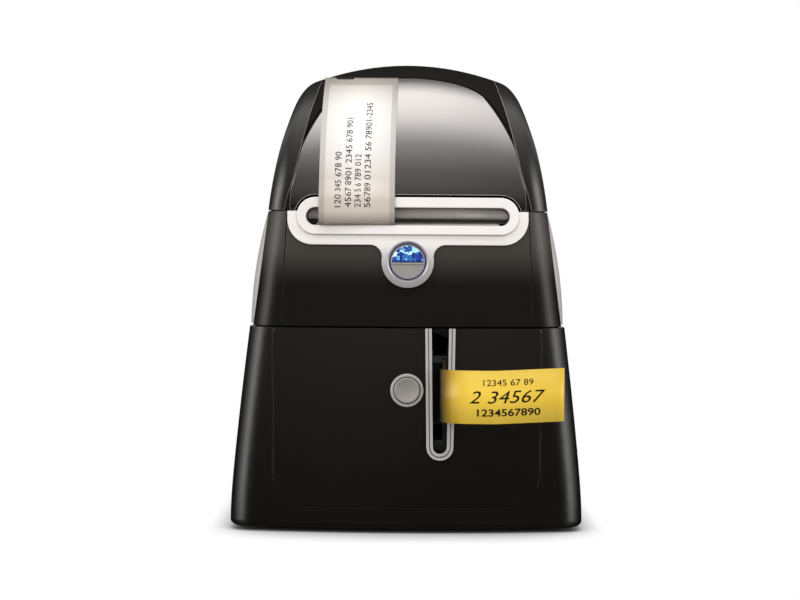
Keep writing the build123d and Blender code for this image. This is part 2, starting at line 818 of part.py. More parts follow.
ring_front = housing_front_at(ring_bottom) - ring_lift
plate_skin = housing_body(housing_bottom, housing_top, bezel_lift)
plate_skin -= housing_body(housing_bottom - 1, housing_top + 1, seat_gap)
bezel = front_prism(plate_outline(0), back=base_top_front + 15) & plate_skin
ring_slab = front_slab(ring_front, ring_back, ring_bottom - 2, ring_top + 2)
bezel += front_prism(stadium(ring_half, ring_bottom, ring_top), back=0) & ring_slab
bezel -= front_prism(stadium(slot_half, slot_bottom, slot_top), back=base_top_front + 20)
button_face = housing_front_at(button_z) - bezel_lift
dish_back = button_face + 2.2
lobe_tube = rod_y(0, button_z, lobe_radius - 1.2, button_face + 0.3, dish_back + 1.0)
bezel += lobe_tube
dish = Plane(origin=(0, button_face - 0.3, button_z), x_dir=(1, 0, 0), z_dir=(0, 1, 0))
dish_cut = loft([dish * Circle(dish_radius + 0.2),
                 dish.offset(dish_back - button_face) * Circle(feed_button_radius + feed_button_gap)])
bezel -= dish_cut
bezel -= rod_y(0, button_z, feed_button_radius + feed_button_gap, button_face - 5, dish_back + 5)
save(bezel, "front_bezel")

fascia = housing_tube & front_prism(fascia_outline(-seam_gap / 2), back=fascia_back)
ring_seat = stadium(ring_half + fit_gap, ring_bottom - fit_gap, ring_top + fit_gap)
fascia -= front_prism(ring_seat, back=base_top_front + 20)
fascia -= rod_y(0, button_z, lobe_radius - 1.0, base_top_front - 5, base_top_front + 20)
flange_y = dish_back + 1.0 + seam_gap
feed_switch_front = flange_y + 1.0 + feed_button_travel + seam_gap
for x in (-11.0, 11.0):
    fascia += rod_y(x, button_z - 4, 2.0, housing_front_at(button_z) + 1, feed_switch_front + 2)
save(fascia, "front_fascia")
feed_switch = block(-13.5, 13.5, feed_switch_front + 2, feed_switch_front + 3.3, button_z - 7.5,
                    button_z + 3)
feed_switch += block(-4, 4, feed_switch_front, feed_switch_front + 2.1, button_z - 5, button_z + 3)
save(feed_switch, "feed_switch")

# Feed button: a metal-look lower half and a clear blue lens above it
cap_face = button_face + 0.4
cap = rod_y(0, button_z, feed_button_radius, cap_face, flange_y + 0.4)
lens_room = front_prism(polygon([(-9, button_z - 0.6), (9, button_z - 0.6), (9, button_z + 9),
                                 (-9, button_z + 9)]), back=cap_face + 2.2)
inner_round = rod_y(0, button_z, feed_button_radius - 0.5, cap_face - 3, cap_face + 2.0)
lens = inner_round & front_prism(polygon([(-9, button_z - 0.4), (9, button_z - 0.4),
                                          (9, button_z + 9), (-9, button_z + 9)]), back=0)
lens &= rod_y(0, button_z, feed_button_radius + 1, cap_face - 0.3, cap_face + 1.9)
cap -= inner_round & lens_room
cap += rod_y(0, button_z, feed_button_radius + 1.0, flange_y, flange_y + 1.0)
save(cap, "feed_button_cap")
save(lens, "feed_button_lens")

# Tear bar: a steel strip on the slot floor with its toothed lip turned up
lip_y = ring_front + 0.9
teeth = []
count = int((2 * slot_half - 8) / tooth_pitch)
half_run = count * tooth_pitch / 2
for index in range(count):
    x = -half_run + index * tooth_pitch
    teeth += [(x, slot_bottom + 0.35), (x + tooth_pitch / 2, slot_bottom + 0.95)]
teeth += [(half_run, slot_bottom + 0.35), (half_run, slot_bottom), (-half_run, slot_bottom)]
tear_bar = extrude(Plane(origin=(0, lip_y + bow(half_run) + 0.4, 0), x_dir=(1, 0, 0),
                         z_dir=(0, -1, 0)) * polygon(teeth), amount=0.4)
tear_bar += block(-half_run, half_run, lip_y + bow(half_run) + 0.3, ring_back, slot_bottom,
                  slot_bottom + 0.35)
save(tear_bar, "tear_bar")

# Chassis plate and the two side plates of the print mechanism
chassis_bottom = housing_bottom - 0.1
chassis_top = chassis_bottom + chassis_thick
chassis = housing_body(chassis_bottom, chassis_top, -housing_wall - seam_gap)
save(chassis, "chassis_plate")

idler_y = platen_y + (platen_teeth + idler_small_teeth) * module / 2 * math.cos(math.radians(idler_angle))
idler_z = platen_z + (platen_teeth + idler_small_teeth) * module / 2 * math.sin(math.radians(idler_angle))
pinion_reach = (idler_large_teeth + pinion_teeth) * module / 2
motor_y = idler_y + pinion_reach * math.cos(math.radians(pinion_angle))
motor_z = idler_z + pinion_reach * math.sin(math.radians(pinion_angle))
frame_outer = frame_inner + frame_thick
plate = polygon([(frame_front, chassis_top), (frame_back, chassis_top), (frame_back, 112.0),
                 (head_pivot_y + 6, frame_top), (head_pivot_y - 6, frame_top),
                 (platen_y + 6, 119.0), (frame_front, 119.0)])
plate -= Pos(platen_y, platen_z) * Circle(bush_radius)
plate -= Pos(head_pivot_y, head_pivot_z) * Circle(pivot_radius)
frames = side_prism(plate, -frame_outer, -frame_inner) + side_prism(plate, frame_inner, frame_outer)
frames -= rod_x(idler_y, idler_z, axle_radius, 0, 60)
frames -= rod_x(motor_y, motor_z, pinion_boss, 0, 60)
for side in (-1, 1):
    near, far = sorted((side * (frame_inner - 9), side * frame_outer))
    frames += block(near, far, frame_front + 4, frame_front + 14, chassis_top, chassis_top + frame_thick)
save(frames, "mechanism_frame")
bushes = Part()
for side in (-1, 1):
    inner, outer = sorted((side * (frame_inner - 0.3), side * (frame_outer + 0.3)))
    flange_in, flange_out = sorted((side * frame_outer, side * (frame_outer + 0.6)))
    bushes += rod_x(platen_y, platen_z, bush_radius, inner, outer)
    bushes += rod_x(platen_y, platen_z, bush_flange, flange_in, flange_out)
bushes -= rod_x(platen_y, platen_z, shaft_radius + running_gap, -60, 60)
save(bushes, "platen_bushes")
pivot = rod_x(head_pivot_y, head_pivot_z, pivot_radius, -frame_outer - 1.4,
              lever_left + lever_thick + 0.4)
save(pivot, "head_pivot_rod")
small_left = gear_left + gear_step
axle = rod_x(idler_y, idler_z, axle_radius, frame_inner, small_left + gear_width + 0.2)
axle += rod_x(idler_y, idler_z, axle_radius + 1, small_left + gear_width + 0.2,
              small_left + gear_width + 0.7)
save(axle, "idler_axle")

# Gears: straight teeth with involute flanks


def gear_face(teeth, turn):
    # Teeth on the pitch circle, one of them centred at the angle turn, in degrees
    pitch = module * teeth / 2
    base = pitch * math.cos(math.radians(pressure_angle))
    tip = pitch + 0.8 * module
    root = pitch - 1.15 * module
    half_tooth = math.pi / (2 * teeth) - tooth_slack / pitch
    involute = math.tan(math.radians(pressure_angle)) - math.radians(pressure_angle)
    low = max(base, root + 0.01)
    flank = []
    for step in range(4):
        radius = low + (tip - low) * step / 3
        spread = math.acos(min(1.0, base / radius))
        flank.append((radius, half_tooth + involute - (math.tan(spread) - spread)))
    points = []
    for tooth in range(teeth):
        centre = math.radians(turn) + 2 * math.pi * tooth / teeth
        ring = [(root, -flank[0][1] - 0.02)] + [(r, -a) for r, a in flank]
        ring += [(r, a) for r, a in reversed(flank)] + [(root, flank[0][1] + 0.02)]
        points += [(r * math.cos(centre + a), r * math.sin(centre + a)) for r, a in ring]
    return polygon(points)


def gear(y, z, teeth, turn, x0):
    return side_prism(Pos(y, z) * gear_face(teeth, turn), x0, x0 + gear_width)


small_turn = idler_angle + 180 + 180 / idler_small_teeth
pinion_turn = pinion_angle + 180 + 180 / pinion_teeth
platen_shaft = rod_x(platen_y, platen_z, shaft_radius, -frame_outer - 1.4,
                     small_left + gear_width + 0.3)
save(platen_shaft, "platen_shaft")
sleeve = rod_x(platen_y, platen_z, platen_radius, -platen_half, platen_half)
sleeve -= rod_x(platen_y, platen_z, shaft_radius, -60, 60)
save(sleeve, "platen_rubber")
platen_gear = gear(platen_y, platen_z, platen_teeth, idler_angle, small_left)
platen_gear -= rod_x(platen_y, platen_z, shaft_radius, 40, 60)
save(platen_gear, "platen_gear")
idler = gear(idler_y, idler_z, idler_large_teeth, pinion_angle, gear_left)
idler += gear(idler_y, idler_z, idler_small_teeth, small_turn, small_left)
idler += rod_x(idler_y, idler_z, axle_radius + 1.2, gear_left + 1, small_left + 1)
idler -= rod_x(idler_y, idler_z, axle_radius + running_gap, 40, 60)
save(idler, "idler_gear")
pinion = gear(motor_y, motor_z, pinion_teeth, pinion_turn, gear_left)
pinion += rod_x(motor_y, motor_z, 1.2, frame_inner - 6, gear_left + gear_width + 0.4)
save(pinion, "motor_pinion")
motor = rod_x(motor_y, motor_z, motor_radius, motor_left, frame_inner)
motor -= rod_x(motor_y, motor_z, 1.2 + running_gap, frame_inner - 6.5, frame_inner + 1)
save(motor, "feed_motor")

# Thermal head on its sprung bracket, and the release lever on the same rod
strip_under = platen_z + platen_radius + 0.1
head_low = strip_under + liner_thick + head_clear
head = block(-bracket_half + 2, bracket_half - 2, platen_y - 5, platen_y + 6, head_low, head_low + 2.5)
save(head, "thermal_head")
bracket_low = head_low + 2.5
bracket = block(-bracket_half, bracket_half, platen_y - 6, head_pivot_y - 3.2, bracket_low,
                bracket_low + 1.4)
ear = polygon([(head_pivot_y - 8, bracket_low), (head_pivot_y + 3, bracket_low),
               (head_pivot_y + 4, head_pivot_z + 3.4), (head_pivot_y - 4, head_pivot_z + 3.4)])
bracket += side_prism(ear, -bracket_half, -bracket_half + 1.5)
bracket += side_prism(ear, bracket_half - 1.5, bracket_half)
bracket -= rod_x(head_pivot_y, head_pivot_z, pivot_radius + running_gap, -60, 60)
save(bracket, "head_bracket")
lever_outline = polygon([(head_pivot_y - 4, head_pivot_z), (head_pivot_y + 4, head_pivot_z),
                         (head_pivot_y + lever_width / 2, lever_top),
                         (head_pivot_y - lever_width / 2, lever_top)])
lever = side_prism(lever_outline, lever_left, lever_left + lever_thick)
lever += rod_x(head_pivot_y, head_pivot_z, 4.0, lever_left, lever_left + lever_thick)
lever += block(lever_left - 3, lever_left + lever_thick, head_pivot_y - lever_width / 2,
               head_pivot_y + lever_width / 2, lever_top - lever_tab, lever_top)
lever -= rod_x(head_pivot_y, head_pivot_z, pivot_radius + running_gap, 40, 60)
save(lever, "release_lever")

# Roll bay: floor with the guide rail and two slotted cradles for the spool
floor_top = chassis_top + cradle_floor
bay_height = cover_height - cover_wall - floor_top
flange_radius = bay_height / 2 - bay_room
roll_radius = flange_radius - roll_inset
spool_y = bay_front + roll_radius
spool_guide_radius = flange_radius - spool_guide_inset
spool_z = floor_top + bay_height / 2 - spool_drop
cradle_half = housing_top_half - housing_wall - cradle_gap
cradle_top = spool_z + cradle_rise
guide_back = spool_y - roll_radius
guide_front = guide_back - guide_depth
rail_y = guide_back - rail_inset
cradle = block(-cradle_half, cradle_half, guide_front - 1, spool_y + roll_radius, chassis_top, floor_top)
cheek = polygon([(spool_y - cradle_width / 2, floor_top - 0.5),
                 (spool_y + cradle_width / 2, floor_top - 0.5),
                 (spool_y + cradle_width / 2, cradle_top), (spool_y - cradle_width / 2, cradle_top)])
slot_width = journal_radius + running_gap
cheek -= Pos(spool_y, spool_z) * Circle(slot_width)
cheek -= polygon([(spool_y - slot_width, spool_z), (spool_y + slot_width, spool_z),
                  (spool_y + slot_width, cradle_top - 4), (spool_y + slot_width + 4, cradle_top + 0.1),
                  (spool_y - slot_width - 4, cradle_top + 0.1), (spool_y - slot_width, cradle_top - 4)])
cradle += side_prism(cheek, -cradle_half, -cradle_half + cradle_thick)
cradle += side_prism(cheek, cradle_half - cradle_thick, cradle_half)
guide_left = liner_right + 0.4
rail_right = guide_left + 3 * guide_thick + guide_travel
cradle += block(liner_left - 2, rail_right, rail_y - rail_half, rail_y + rail_half, floor_top - 0.5,
                floor_top + rail_height)
save(cradle, "label_cradle")
label_guide = block(guide_left, guide_left + guide_thick, guide_front, guide_back,
                    floor_top + seam_gap, guide_top)
label_guide += block(guide_left, guide_left + 3 * guide_thick, guide_front, guide_back,
                     floor_top + seam_gap, floor_top + rail_height + 3)
label_guide -= block(guide_left - 1, guide_left + 4 * guide_thick, rail_y - rail_half - fit_gap,
                     rail_y + rail_half + fit_gap, floor_top, floor_top + rail_height + fit_gap)
save(label_guide, "label_guide")

# Spool with the label roll and its sliding guide
core_right = guide_left + spool_hub_width + guide_travel + 1
spool = rod_x(spool_y, spool_z, flange_radius, liner_left - 2.4, liner_left - 0.2)
spool += rod_x(spool_y, spool_z, core_radius, liner_left - 1, core_right)
spool += rod_x(spool_y, spool_z, journal_radius, -cradle_half - 0.4, cradle_half + 0.4)
save(spool, "label_spool")
roll = rod_x(spool_y, spool_z, roll_radius, liner_left, liner_right)
roll -= rod_x(spool_y, spool_z, core_radius + 0.1, -60, 60)
save(roll, "label_roll")
spool_guide = rod_x(spool_y, spool_z, spool_guide_radius, guide_left, guide_left + spool_guide_thick)
spool_guide += rod_x(spool_y, spool_z, spool_hub_radius, guide_left, guide_left + spool_hub_width)
spool_guide -= rod_x(spool_y, spool_z, core_radius + running_gap, -60, 60)
save(spool_guide, "spool_guide")

# Label strip: off the underside of the roll, over the platen, out of the slot and up the dome
strip_middle = platen_radius + 0.1 + liner_thick / 2
roll_line = roll_radius + 0.3 + liner_thick / 2
reach = math.hypot(spool_y - platen_y, spool_z - platen_z)
toward = math.degrees(math.atan2(spool_z - platen_z, spool_y - platen_y))
cross = math.degrees(math.acos((strip_middle + roll_line) / reach))
strip_line = arc_points(spool_y, spool_z, roll_line, toward - 180 + cross + 12,
                        toward - 180 + cross, 4)
strip_line += arc_points(platen_y, platen_z, strip_middle, toward + cross, 90, 6)
strip_line += [(platen_y - 5, platen_z + strip_middle), (-71.0, 116.3), (slot_lip_y + 2.6, 116.5)]
strip_line += arc_points(slot_lip_y + 2.4, 118.9, 2.4, 255, 180, 6)
strip_line += [(slot_lip_y, 121.5), (slot_lip_y + 0.05, 124.5)]
rise = cover_height - cover_bottom + strip_clear
run = cover_apex - housing_top_front + strip_clear
join_angle = 168.0
for step in range(1, 5):
    part = step / 5
    smooth = part * part * (3 - 2 * part)
    turn = math.radians(join_angle)
    join = (cover_apex + run * math.cos(turn), cover_bottom + rise * math.sin(turn))
    strip_line.append((slot_lip_y + (join[0] - slot_lip_y) * smooth,
                       124.5 + (join[1] - 124.5) * part))
end_turn = math.degrees(math.acos((strip_end_y - cover_apex) / run))
for step in range(13):
    turn = math.radians(join_angle + (end_turn - join_angle) * step / 12)
    strip_line.append((cover_apex + run * math.cos(turn), cover_bottom + rise * math.sin(turn)))
strip = side_prism(ribbon(strip_line, liner_thick), liner_left, liner_right)
save(strip, "label_strip")
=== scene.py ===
import json
import math

import bmesh
import bpy
from mathutils import Matrix, Vector, geometry


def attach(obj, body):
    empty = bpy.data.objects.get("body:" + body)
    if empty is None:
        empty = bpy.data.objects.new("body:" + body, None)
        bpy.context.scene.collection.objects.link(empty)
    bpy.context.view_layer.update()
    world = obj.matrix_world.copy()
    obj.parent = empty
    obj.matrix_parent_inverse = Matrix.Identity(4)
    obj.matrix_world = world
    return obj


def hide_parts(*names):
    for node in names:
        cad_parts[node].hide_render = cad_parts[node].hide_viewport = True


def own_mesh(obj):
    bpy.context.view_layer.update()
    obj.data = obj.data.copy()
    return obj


# Twin label printer: the roll-label printer under the dome and the tape printer in the drawer.
# Lengths in the dictionaries are millimetres; toMetres and mm turn them into scene units.

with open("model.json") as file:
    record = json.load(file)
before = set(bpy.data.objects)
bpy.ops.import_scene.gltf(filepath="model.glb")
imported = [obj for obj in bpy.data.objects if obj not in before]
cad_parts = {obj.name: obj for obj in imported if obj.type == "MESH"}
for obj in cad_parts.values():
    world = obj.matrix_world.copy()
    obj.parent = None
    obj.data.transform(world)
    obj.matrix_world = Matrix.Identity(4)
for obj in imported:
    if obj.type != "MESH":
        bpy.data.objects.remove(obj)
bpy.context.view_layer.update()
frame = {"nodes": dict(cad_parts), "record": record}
mm = 0.001
slotOfNode = {part["node"]: part["material_slot"] for part in frame["record"]["subparts"]}
print("frame loaded:", len(frame["nodes"]), "nodes")


def toMetres(*values):
    return Vector([value * mm for value in values])


def hexColour(code):
    # sRGB hex to the linear values that the shaders take
    linear = []
    for start in (0, 2, 4):
        part = int(code[start:start + 2], 16) / 255
        linear.append(part / 12.92 if part <= 0.04045 else ((part + 0.055) / 1.055) ** 2.4)
    return linear + [1.0]


def feed(tree, value, target):
    # gives an input a plain value, a socket to link, or a node, which stands for its first output
    if isinstance(value, bpy.types.Node):
        value = value.outputs[0]
    if isinstance(value, bpy.types.NodeSocket):
        tree.links.new(value, target)
    else:
        target.default_value = value


def addNode(tree, kind, inputs=None, **settings):
    # one node: its inputs as in feed, and its settings by name
    node = tree.nodes.new("ShaderNode" + kind)
    for name, value in settings.items():
        setattr(node, name, value)
    for name, value in (inputs or {}).items():
        feed(tree, value, node.inputs[name])
    return node


def emptyTree(owner):
    owner.use_nodes = True
    owner.node_tree.nodes.clear()
    return owner.node_tree


def addObject(name, data):
    item = bpy.data.objects.new(name, data)
    bpy.context.scene.collection.objects.link(item)
    return item


def aimed(place, aim):
    # stands at place and faces aim
    turn = (aim - place).to_track_quat("-Z", "Y").to_matrix().to_4x4()
    return Matrix.Translation(place) @ turn


# camera, as the photograph was taken: level with the slot, about 0.9 m away
photoCamera = {"place": (-2.8, -982.0, 105.0), "aim": (-2.8, -82.0, 87.1),
               "lens": 108.95, "sensor": 36.0, "rollDegrees": 0.35, "clip": (50, 20000)}


def placeCamera(view):
    camera = bpy.data.cameras.new("photoCamera")
    camera.lens = view["lens"]
    camera.sensor_width = view["sensor"]
    camera.clip_start, camera.clip_end = [distance * mm for distance in view["clip"]]
    holder = addObject("photoCamera", camera)
    roll = Matrix.Rotation(math.radians(view["rollDegrees"]), 4, "Z")
    holder.matrix_world = aimed(toMetres(*view["place"]), toMetres(*view["aim"])) @ roll
    bpy.context.scene.camera = holder


placeCamera(photoCamera)
print("camera placed")

# studio: white all round, a dark front for the black plastic, soft boxes above and beside
studio = {
    "ambient": 0.42,  # what the white room adds to diffuse light
    # brightness in gloss of the overhead light, by how far a ray leans from front (-1) to back (1)
    "overhead": (
        (-1.00, 0.060), (-0.86, 0.095), (-0.71, 0.125), (-0.50, 0.205), (-0.36, 0.27), (-0.24, 0.38),
        (-0.10, 0.54), (0.02, 0.69), (0.14, 0.82), (0.28, 0.90), (0.42, 0.96), (0.56, 0.88),
        (0.72, 0.20), (0.85, 0.04), (1.00, 0.01)),
    # the same for the two tall boxes at the sides, as a part of their strength
    "aside": (
        (-1.00, 0.0), (-0.79, 0.025), (-0.69, 0.09), (-0.57, 0.23), (-0.44, 0.58), (-0.30, 0.96),
        (-0.20, 1.0), (0.03, 0.55), (0.28, 0.18), (0.50, 0.04), (0.75, 0.0), (1.00, 0.0)),
    # smooth steps over the ray's part Up or Side: from, to, level before, level after
    "steps": {
        "overhead": (("Up", 0.0, 0.42, 0.05, 1.0), ("Side", 0.0, 0.82, 1.0, 0.10)),
        "aside": (("Side", 0.45, 0.80, 0.0, 1.0), ("Up", -0.16, 0.02, 0.12, 1.0),
                  ("Up", 0.35, 0.92, 2.9, 0.0))},
    "boxes": {
        "topBox": {"place": (0, -350, 1150), "size": (1300, 1100), "watts": 8.5},
        "leftBox": {"place": (-820, -420, 330), "size": (260, 900), "watts": 3.2},
        "rightBox": {"place": (820, -420, 330), "size": (260, 900), "watts": 3.2},
        "frontFill": {"place": (0, -1500, 500), "size": (900, 700), "watts": 6.3}},
    "boxesAim": (0, 0, 85),
    "floorRadius": 1200, "footprint": (63.0, 82.0), "floorFade": (14.0, 75.0),
    "shadeReach": 60.0, "shadeFull": 0.40, "shadeLevel": 0.44,
}


def curve(tree, value, stops):
    # a smooth curve through (place, grey level or hex colour) stops
    low, high = stops[0][0], stops[-1][0]
    part = addNode(tree, "MapRange", {"Value": value, "From Min": low, "From Max": high})
    ramp = addNode(tree, "ValToRGB", {"Fac": part})
    ramp.color_ramp.interpolation = "CARDINAL"
    elements = ramp.color_ramp.elements
    while len(elements) < len(stops):
        elements.new(0.5)
    for element, (place, level) in zip(elements, stops):
        element.position = (place - low) / (high - low)
        element.color = hexColour(level) if isinstance(level, str) else (level, level, level, 1.0)
    return ramp


def heightOf(tree, coords):
    # height above the table, in millimetres
    parts = addNode(tree, "SeparateXYZ", {"Vector": coords})
    return addNode(tree, "Math", {0: parts.outputs["Z"], 1: 1 / mm}, operation="MULTIPLY")


def buildWorld(settings):
    world = bpy.data.worlds.new("whiteStudio")
    tree = emptyTree(world)
    coords = addNode(tree, "TexCoord")
    parts = addNode(tree, "SeparateXYZ", {"Vector": coords.outputs["Generated"]})
    sideways = addNode(tree, "Math", {0: parts.outputs["X"]}, operation="ABSOLUTE")
    ray = {"Side": sideways, "Up": parts.outputs["Z"]}
    # overhead: its brightness follows the tilt of the face that mirrors it, whichever way that face
    # is turned. The tilt's tangent is Up / (1 - Y), and from it comes the lean from front to back.
    behind = addNode(tree, "Math", {0: 1.0, 1: parts.outputs["Y"]}, operation="SUBTRACT")
    tilt = addNode(tree, "Math", {0: parts.outputs["Z"], 1: behind}, operation="DIVIDE")
    square = addNode(tree, "Math", {0: tilt, 1: tilt}, operation="MULTIPLY")
    less, more = [addNode(tree, "Math", {0: square, 1: one}, operation="ADD") for one in (-1.0, 1.0)]
    lean = addNode(tree, "Math", {0: less, 1: more}, operation="DIVIDE")
    parted = []
    for name, place in (("overhead", lean), ("aside", parts.outputs["Y"])):
        level = curve(tree, place, settings[name])
        for part, start, end, before, after in settings["steps"][name]:
            step = addNode(tree, "MapRange", {
                "Value": ray[part], "From Min": start, "From Max": end, "To Min": before,
                "To Max": after}, interpolation_type="SMOOTHSTEP")
            level = addNode(tree, "Math", {0: level, 1: step}, operation="MULTIPLY")
        parted.append(level)
    gloss = addNode(tree, "Math", {0: parted[0], 1: parted[1]}, operation="ADD")
    path = addNode(tree, "LightPath")
    seen = addNode(tree, "Math", {
        0: path.outputs["Is Camera Ray"], 1: path.outputs["Is Transmission Ray"]}, operation="MAXIMUM")
    lit = addNode(tree, "Mix", {
        0: path.outputs["Is Glossy Ray"], 2: settings["ambient"], 3: gloss}, data_type="FLOAT")
    strength = addNode(tree, "Mix", {0: seen, 2: lit, 3: 1.0}, data_type="FLOAT")
    white = addNode(tree, "Background", {"Color": (1, 1, 1, 1), "Strength": strength})
    addNode(tree, "OutputWorld", {"Surface": white})
    bpy.context.scene.world = world


def addSoftBox(name, box, aim):
    light = bpy.data.lights.new(name, "AREA")
    light.shape = "RECTANGLE"
    light.size, light.size_y = [side * mm for side in box["size"]]
    light.energy = box["watts"]
    holder = addObject(name, light)
    holder.matrix_world = aimed(toMetres(*box["place"]), toMetres(*aim))
    holder.visible_glossy = False  # the world carries the boxes' gloss


def buildFloor(settings):
    steps = 96
    radius = settings["floorRadius"]
    ring = [toMetres(radius * math.cos(a), radius * math.sin(a), 0)
            for a in [2 * math.pi * step / steps for step in range(steps)]]
    mesh = bpy.data.meshes.new("studioFloor")
    mesh.from_pydata(ring, [], [list(range(steps))])
    floor = addObject("studioFloor", mesh)
    sweep = bpy.data.materials.new("whitePaperSweep")
    tree = emptyTree(sweep)
    # only the shadow close round the object shows; farther out the sweep is as white as the room
    beyond = addNode(tree, "TexCoord").outputs["Object"]
    reach = [1 / (distance * mm) for distance in settings["floorFade"]] + [0.0]
    for operation, *values in (("ABSOLUTE",), ("SUBTRACT", toMetres(*settings["footprint"], 0)),
                               ("MAXIMUM", (0, 0, 0)), ("MULTIPLY", reach)):
        beyond = addNode(tree, "VectorMath", dict(enumerate([beyond, *values])), operation=operation)
    away = addNode(tree, "VectorMath", {0: beyond}, operation="LENGTH")
    fade = addNode(tree, "MapRange", {"Value": away.outputs["Value"]}, interpolation_type="SMOOTHSTEP")
    # the soft shade that the object throws on the paper close to it
    shade = addNode(tree, "AmbientOcclusion", {"Distance": settings["shadeReach"] * mm}, samples=16)
    depth = addNode(tree, "MapRange", {
        "Value": shade.outputs["AO"], "From Min": settings["shadeFull"],
        "To Min": settings["shadeLevel"]}, interpolation_type="SMOOTHSTEP")
    white = addNode(tree, "BsdfDiffuse", {"Color": depth})
    clear = addNode(tree, "BsdfTransparent")
    mixed = addNode(tree, "MixShader", {0: fade, 1: white, 2: clear})
    addNode(tree, "OutputMaterial", {"Surface": mixed})
    mesh.materials.append(sweep)
    floor.visible_glossy = False


buildWorld(studio)
for boxName, softBox in studio["boxes"].items():
    addSoftBox(boxName, softBox, studio["boxesAim"])
buildFloor(studio)
bpy.context.scene.view_settings.view_transform = "Standard"
print("studio lit")


# materials: each one starts from the real stuff and how it was made
def startMaterial(name, values=None):
    # a new material with its shader; values go on the shader's own sockets
    material = bpy.data.materials.new(name)
    tree = emptyTree(material)
    shader = addNode(tree, "BsdfPrincipled", values)
    addNode(tree, "OutputMaterial", {"Surface": shader})
    return material, tree, shader, addNode(tree, "TexCoord").outputs["Object"]


def perMetre(sizeMm):
    # noise scale for a pattern whose features are sizeMm across
    return 1 / mm / sizeMm


def clouded(tree, coords, sizeMm, detail, pale, dark, fleck=0.5):
    # colour that drifts between two tones over sizeMm; gives the drift and the colour
    drift = addNode(tree, "TexNoise", {
        "Vector": coords, "Scale": perMetre(sizeMm), "Detail": detail, "Roughness": fleck})
    tone = addNode(tree, "Mix", {0: drift, 6: hexColour(pale), 7: hexColour(dark)}, data_type="RGBA")
    return drift, tone.outputs[2]


def paintedCreaseShade(tree, colour, reachMm, dark):
    # painted shade: the colour is darkened by ambient occlusion in narrow gaps and grooves, below that of
    # the open face
    free = addNode(tree, "AmbientOcclusion", {"Distance": reachMm * mm}, samples=6)
    shade = addNode(tree, "MapRange", {"Value": free.outputs["AO"], "From Min": 0.25, "From Max": 0.95,
                                       "To Min": dark}, interpolation_type="SMOOTHSTEP")
    return addNode(tree, "VectorMath", {0: colour, "Scale": shade}, operation="SCALE")


def wornAndHighlitEdges(tree, colour, look, start, full, most):
    # edges rounded by edgeMm in the shading, and a paler edge colour where the rounding bends most: rubbed
    # wear, and on the cheeks a painted highlight
    rounded = addNode(tree, "Bevel", {"Radius": look["edgeMm"] * mm}, samples=4)
    flat = addNode(tree, "NewGeometry").outputs["Normal"]
    agree = addNode(tree, "VectorMath", {0: rounded, 1: flat}, operation="DOT_PRODUCT")
    edge = addNode(tree, "MapRange", {
        "Value": agree.outputs["Value"], "From Min": start, "From Max": full,
        "To Max": most}, interpolation_type="SMOOTHSTEP")
    tone = addNode(tree, "Mix", {0: edge, 6: colour, 7: hexColour(look["edgeWearAndHighlightColour"])}, data_type="RGBA")
    return rounded, tone.outputs[2]


def dressShader(tree, shader, colour, mottle, rough, bumps, relief, rounded=None, lowHigh=(0, 1)):
    # rough: roughness at the mottle's lowHigh; relief: strength and depth in mm of the bumps
    spread = addNode(tree, "MapRange", {"Value": mottle, "From Min": lowHigh[0], "From Max": lowHigh[1],
                                        "To Min": rough[0], "To Max": rough[1]})
    bump = addNode(tree, "Bump", {"Height": bumps, "Strength": relief[0], "Distance": relief[1] * mm})
    if rounded:
        feed(tree, rounded, bump.inputs["Normal"])
    for name, source in (("Base Color", colour), ("Roughness", spread), ("Normal", bump)):
        feed(tree, source, shader.inputs[name])
    return spread


def mouldedPlastic(name, look):
    # Injection-moulded plastic: slow colour drift from the flow, a fine mould grain, soft parting
    # edges rubbed a little paler (on the cheeks the pale edge is a painted highlight), and dust-fine
    # scratches in the roughness.
    material, tree, shader, coords = startMaterial(
        name, {"IOR": look["ior"], "Specular IOR Level": look["specular"]})
    body = clouded(tree, coords, look["driftMm"], 3.0, look["colour"], look["shade"])[1]
    rounded, tone = wornAndHighlitEdges(tree, body, look, start=0.995, full=0.86, most=look["edgeWearAndHighlightAmount"])
    scuff = addNode(tree, "TexNoise", {
        "Vector": coords, "Scale": perMetre(look["scuffMm"]), "Detail": 5.0, "Roughness": 0.65})
    grain = addNode(tree, "TexNoise", {
        "Vector": coords, "Scale": perMetre(look["grainMm"]), "Detail": 2.0})
    if "paintedLightByHeight" in look:
        # painted light: the colour pales with height, standing in for light scattered on the face from
        # what lies above it
        lowZ, highZ, code = look["paintedLightByHeight"]
        rise = addNode(tree, "MapRange", {"Value": heightOf(tree, coords), "From Min": lowZ,
                                          "From Max": highZ}, interpolation_type="SMOOTHSTEP")
        tone = addNode(tree, "Mix", {0: rise, 6: tone, 7: hexColour(code)}, data_type="RGBA").outputs[2]
    # painted shade in creases and grooves
    dressShader(tree, shader, paintedCreaseShade(tree, tone, reachMm=1.2, dark=0.45), scuff,
                look["rough"], grain, look["relief"], rounded, (0.3, 0.7))
    return material


def workedMetal(name, look):
    # Sheet, turned or plated metal: a directional tool mark along one axis, cloudy tarnish in the
    # colour and bright edges where handling has polished it.
    material, tree, shader, coords = startMaterial(name, {"Metallic": look["metallic"]})
    stretch = addNode(tree, "Mapping", {"Vector": coords, "Scale": look["marks"]})
    lines = addNode(tree, "TexNoise", {
        "Vector": stretch, "Detail": 4.0, "Scale": perMetre(look["markMm"]), "Roughness": 0.6})
    body = clouded(tree, coords, look["cloudMm"], 4.0, look["colour"], look["shade"])[1]
    rounded, bright = wornAndHighlitEdges(tree, body, look, start=0.99, full=0.85, most=0.6)
    # painted shade in creases and grooves
    dressShader(tree, shader, paintedCreaseShade(tree, bright, reachMm=1.0, dark=0.35), lines,
                look["rough"], lines, look["relief"], rounded, (0.3, 0.7))
    return material


finishes = {}
